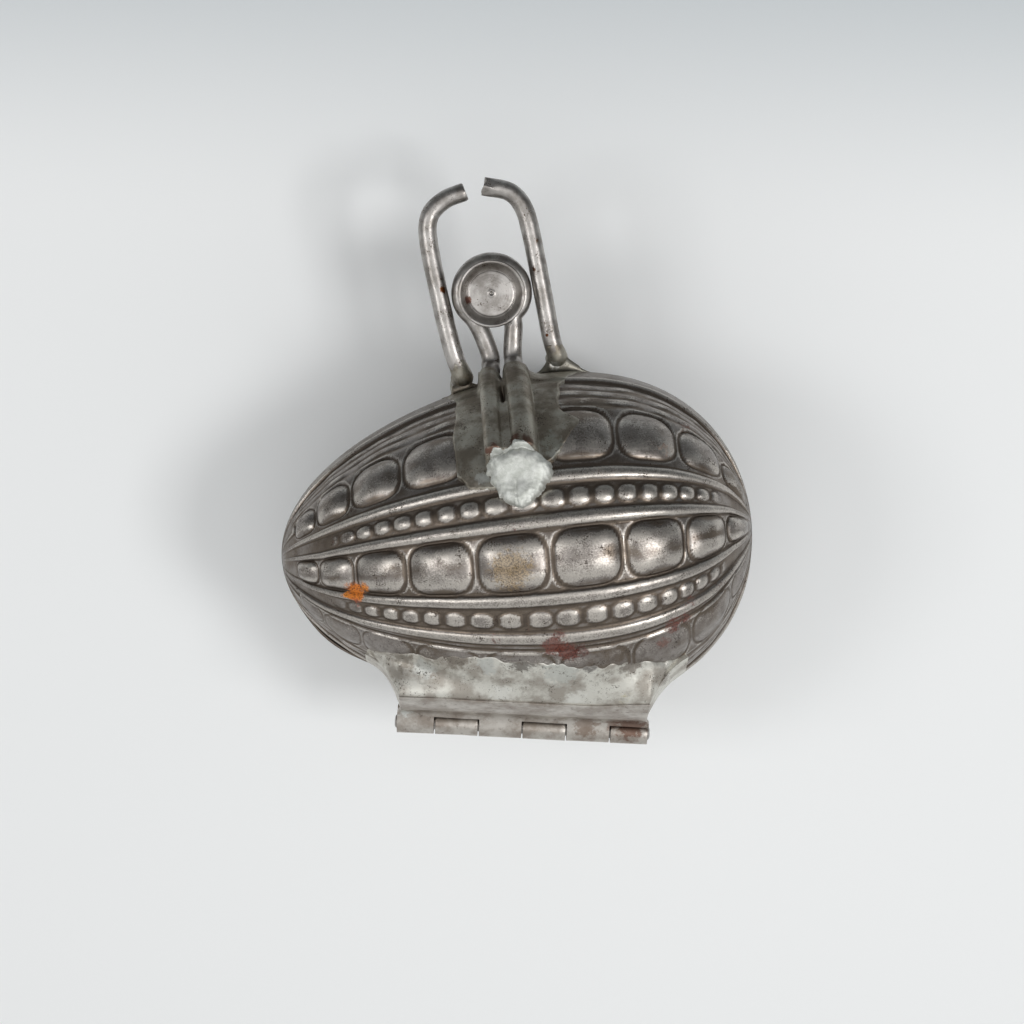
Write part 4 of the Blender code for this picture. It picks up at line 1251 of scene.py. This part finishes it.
def cavity_tinplate():
    """Inside of the mould: the tin that touched the chocolate, kept smooth, with a brown bloom."""
    material, place, cloud, grain = new_surface("cavity_tinplate", (12, 5.0, 0.6), (0.8, 4.0, 0.6))
    colour, _ = lay_over(material, linear("b0ada8"), linear("8f857b"), cloud, 0.35, 0.7)
    colour, _ = lay_specks(material, colour, linear("5a4a3e"), place, 0.4, 0.02, 2)
    roughness = add_node(material, RANGE, {"Value": cloud, "To Min": 0.25, "To Max": 0.45})
    return finish_metal(material, colour, 1.0, roughness, grain, 0.3, 0.1)


def rolled_tinplate():
    """Hinge sheet: grey tin, rubbed bright on the barrel, brown in its joints and rusted at one end."""
    material, place, cloud, mottle = new_surface("rolled_tinplate", (6, 6.0, 0.65), (1.3, 5.0, 0.65))
    colour, _ = lay_over(material, linear("bdb8b1"), linear("968d84"), cloud, 0.38, 0.62)
    colour, _ = lay_over(material, colour, linear("5d534b"), mottle, 0.56, 0.74, 0.7)
    spots = [(plane_at_pixel(*pixel, BARREL_DIAMETER / 2), *spot) for pixel, *spot in HINGE_STAINS]
    colour = lay_spots(material, colour, place, spots, 3, 1.2)
    roughness = add_node(material, RANGE, {"Value": mottle, **SPREAD, "To Min": 0.36, "To Max": 0.5})
    return finish_metal(material, colour, 1.0, roughness, mottle, 0.4, 0.15)


def tinned_wire():
    """Drawn steel wire dipped in tin: smooth light grey, with fine pits, scratches and rust specks."""
    material, place, cloud, fine = new_surface("tinned_wire", (4, 5.0, 0.6), (0.6, 4.0, 0.7))
    colour, _ = lay_over(material, linear("b4b0ac"), linear("88837e"), cloud, 0.35, 0.65)
    colour, pits = lay_specks(material, colour, linear("574b43"), place, 0.3, 0.02, 3)
    spots = [(plane_at_pixel(*pixel, WIRE / 2), *spot, 1.0) for pixel, *spot in WIRE_STAINS]
    colour = lay_spots(material, colour, place, spots, 2, 0.6)
    roughness = add_node(material, RANGE, {"Value": fine, **SPREAD, "To Min": 0.28, "To Max": 0.44})
    height = add_node(material, MATH, {0: pits, 1: -0.8, 2: fine}, operation="MULTIPLY_ADD")
    return finish_metal(material, colour, 1.0, roughness, height, 0.4, 0.08)


def dull_solder(name, light, dark):
    """Old tin-lead solder, wiped with a hot iron: satin grey with lighter, frosted patches, darker patches,
    bright patches that are painted highlights, and pits.
    """
    material, place, cloud, mottle = new_surface(name, (6, 6.0, 0.62), (1.6, 6.0, 0.7))
    colour, _ = lay_over(material, linear(light), linear(dark), cloud, 0.4, 0.6)
    # the spots include painted highlights on the hinge's solder
    spots = [(egg_at_pixel(*pixel, lift * MM), *spot) for pixel, lift, *spot in SOLDER_PATCHES_AND_HIGHLIGHTS]
    colour = lay_spots(material, colour, place, spots, 3, 1.4)
    colour, _ = lay_over(material, colour, linear("675f55"), mottle, 0.55, 0.74, 0.7)
    colour, pits = lay_specks(material, colour, linear("4c443c"), place, 0.35, 0.02, 4)
    roughness = add_node(material, RANGE, {"Value": mottle, **SPREAD, "To Min": 0.42, "To Max": 0.56})
    height = add_node(material, MATH, {0: pits, 1: -0.5, 2: mottle}, operation="MULTIPLY_ADD")
    return finish_metal(material, colour, 1.0, roughness, height, 0.5, 0.2)


def bright_solder():
    """Newer solder that set with a frosted, greenish white skin, grainy and finely cracked."""
    material, place, mottle, grain = new_surface("bright_solder", (1.6, 6.0, 0.7), (0.35, 3.0, 0.6))
    pattern = {"Vector": place, "Scale": 1 / (1.5 * MM)}
    cells = add_node(material, "ShaderNodeTexVoronoi", pattern, "Distance", feature="DISTANCE_TO_EDGE")
    colour, _ = lay_over(material, linear("d6d7d2"), linear("bbbdb6"), mottle, 0.35, 0.65)
    colour, cracked = lay_over(material, colour, linear("8d8f86"), cells, 0.05, 0.0, 0.2)
    height = add_node(material, MATH, {0: grain, 1: 0.4, 2: mottle}, operation="MULTIPLY_ADD")
    height = add_node(material, MATH, {0: cracked, 1: -0.7, 2: height}, operation="MULTIPLY_ADD")
    return finish_metal(material, colour, 0.7, 0.55, height, 0.4, 0.2)


def pale_card():
    """Smooth pale card under the mould, with painted shade that darkens it towards the handle's side, away
    from the lamps.
    """
    material, place = new_surface("pale_card")
    towards_handle = add_node(material, "ShaderNodeSeparateXYZ", {0: place}, "Y")
    # painted shade: the card's colour darkens towards the handle's side
    colour, _ = lay_over(material, linear("eff0f0"), linear("b9c0c4"), towards_handle, 0.045, 0.14)
    return add_shader(material, {"Base Color": colour, "Roughness": 0.8})


# Stage


def make_floor():
    bm = bmesh.new()
    corners = ((-1, -1), (1, -1), (1, 1), (-1, 1))
    bm.faces.new([bm.verts.new((x * FLOOR_HALF, y * FLOOR_HALF, 0)) for x, y in corners])
    mesh = bpy.data.meshes.new("floor")
    bm.to_mesh(mesh)
    bm.free()
    mesh.materials.append(pale_card())
    add_object("floor", mesh)


def add_softbox(name, lean, heading, distance, size, power):
    """Square lamp that looks at the mould."""
    lean = math.radians(lean)
    heading = math.radians(heading)
    data = bpy.data.lights.new(name, "AREA")
    data.size = size
    data.energy = power
    lamp = add_object(name, data)
    out = Vector((math.sin(lean) * math.cos(heading), math.sin(lean) * math.sin(heading), math.cos(lean)))
    lamp.location = out * distance
    lamp.rotation_euler = out.to_track_quat("Z", "Y").to_euler()


def make_world():
    """Pale room, brighter on the hinge's side than on the handle's."""
    world = bpy.data.worlds.new("room")
    bpy.context.scene.world = world
    world.use_nodes = True
    world.node_tree.nodes.clear()
    direction = add_node(world, COORDINATES, output="Generated")
    towards_handle = add_node(world, "ShaderNodeSeparateXYZ", {0: direction}, "Y")
    colour, _ = lay_over(world, ROOM_BRIGHT, ROOM_DARK, towards_handle, -0.9, 0.7)
    light = add_node(world, "ShaderNodeBackground", {"Color": colour})
    add_node(world, "ShaderNodeOutputWorld", {"Surface": light})


# Spots that the photograph shows, each by its pixel, with its sizes in mm.
# On the shell: pixel, radius, colour, ragged edge, strength
STAINS = (
    ((352, 594), 2.6, "cf7624", 1.1, 1.0),
    ((361, 590), 1.7, "dc8630", 0.9, 1.0),
    ((343, 595), 1.4, "dc8630", 0.9, 1.0),
    ((354, 606), 1.5, "a0523e", 1.0, 0.9),
    ((441, 625), 0.5, "b5662a", 0.8, 0.9),
    ((553, 650), 2.9, "6b372b", 1.7, 0.85),
    ((567, 655), 2.9, "633024", 1.7, 0.9),
    ((581, 654), 2.0, "552a21", 1.7, 0.8),
    ((560, 636), 1.6, "6b372b", 1.4, 0.7),
    ((677, 627), 2.2, "683a30", 1.6, 0.9),
    ((690, 620), 2.0, "683a30", 1.6, 0.9),
    ((694, 602), 1.4, "683a30", 1.6, 0.8),
    ((665, 645), 1.6, "70463a", 2.0, 0.7),
    ((330, 540), 1.4, "57342a", 3.0, 0.6),
    ((515, 530), 0.9, "6a362c", 2.6, 0.8),
    ((527, 632), 0.9, "6a4030", 3.0, 0.6),
    ((495, 643), 0.9, "6a362c", 2.6, 0.7),
    ((724, 585), 1.4, "4c2c22", 4.0, 0.6),
    ((690, 425), 1.4, "6a4234", 4.0, 0.6),
    ((668, 447), 1.4, "7a5a44", 4.0, 0.5),
    ((600, 470), 1.0, "6a4a38", 3.0, 0.5),
    ((510, 571), 4.2, "a58a5e", 4.0, 0.55),
)
# On the leaves: pixel, radius, colour, strength
HINGE_STAINS = (
    ((632, 724), 3.2, "67483a", 0.75),
    ((612, 722), 1.8, "67483a", 0.6),
    ((585, 725), 2.6, "776354", 0.6),
    ((405, 709), 1.6, "d0d2ce", 0.8),
    ((631, 709), 2.4, "c6c5bf", 0.7),
)
# On the wires: pixel, radius, colour
WIRE_STAINS = (
    ((443, 278), 0.7, "4c2c1c"),
    ((444, 289), 0.9, "5c3418"),
    ((533, 269), 0.6, "3f2a20"),
    ((467, 300), 1.0, "6b4f46"),
    ((547, 335), 0.4, "54321f"),
    ((538, 240), 0.5, "5f4a3c"),
)
# On the solder: pixel, height over the egg, radius, colour, strength
SOLDER_PATCHES_AND_HIGHLIGHTS = (
    ((425, 668), 0, 2.4, "c4c5c0", 0.8),
    ((486, 668), 0, 2.2, "bfc0bb", 0.8),
    ((562, 674), 0, 3.6, "bdbeb8", 0.8),
    ((402, 660), 0, 2.4, "8a8379", 0.8),
    ((455, 662), 0, 2.6, "7f776d", 0.8),
    ((522, 661), 0, 3.4, "75706a", 0.85),
    ((592, 664), 0, 3.0, "7a7672", 0.85),
    ((632, 668), 0, 2.6, "807870", 0.8),
    # painted highlights: these four bright patches stand in for glints of the lamps on the solder
    ((624, 690), 0, 3.0, "c6bd9f", 0.8),
    ((443, 688), 0, 2.0, "e0dfda", 0.8),
    ((503, 690), 0, 2.4, "dcdbd5", 0.7),
    ((575, 694), 0, 2.4, "dcdbd5", 0.7),
    ((482, 478), 0, 1.4, "c9cac4", 0.8),
    ((556, 452), 0, 1.6, "c6c7be", 0.6),
    ((455, 474), 0, 0.7, "d2d2cc", 0.9),
    ((550, 440), 0, 2.2, "a9aa9f", 0.7),
    ((493, 452), 4, 1.8, "6e4f44", 0.9),
    ((515, 440), 4, 1.5, "5e463c", 0.9),
    ((527, 441), 4, 1.3, "5e463c", 0.8),
    ((555, 365), 0, 1.0, "e0dfda", 0.9),
)


# The whole mould

make_camera()
tin = aged_tinplate()
cavity = cavity_tinplate()
leaf_tin = rolled_tinplate()
wire_steel = tinned_wire()
hinge_solder = dull_solder("wiped_solder", "d3d1c9", "a8a299")
wire_solder = dull_solder("smoked_solder", "a7a398", "7f776b")

make_shell("front_pressed_shell", "front_half", FRONT, [tin, cavity], "front_shell")
make_shell("back_pressed_shell", "back_half", BACK, [tin, cavity], "back_shell")
make_leaf("front_leaf_sheet", "front_half", FRONT, leaf_tin, "front_hinge_leaf")
make_leaf("back_leaf_sheet", "back_half", BACK, leaf_tin, "back_hinge_leaf")
make_pin(wire_steel)
left_route = arm_route(LEFT_ARM, LEFT_BENDS, -1)
right_route = arm_route(RIGHT_ARM, RIGHT_BENDS, 1)
make_wire("loop_wire", "front_half", loop_route(), wire_steel, "catch_loop", 51)
make_wire("left_arm_wire", "back_half", left_route, wire_steel, "left_catch_arm", 52)
make_wire("right_arm_wire", "back_half", right_route, wire_steel, "right_catch_arm", 53, pinch, 0.4 * MM)
make_cup(wire_steel)
make_hinge_solder("front_solder_flood", "front_half", FRONT, hinge_solder, "front_hinge_solder")
make_hinge_solder("back_solder_flood", "back_half", BACK, hinge_solder, "back_hinge_solder")
add_solder("leg_solder_sheet", "front_half", FRONT, wire_solder, "loop_leg_solder",
           LEG_PATCH, (190, 200), leg_solder_lift)
make_arm_solder("left", LEFT_ARM, left_route, wire_solder, LEFT_COLLAR, LEFT_FILLETS)
make_arm_solder("right", RIGHT_ARM, right_route, wire_solder, RIGHT_COLLAR, RIGHT_FILLETS)
make_lump()

make_floor()
for softbox in SOFTBOXES:
    add_softbox(*softbox)
make_world()
bpy.context.scene.view_settings.view_transform = "Standard"
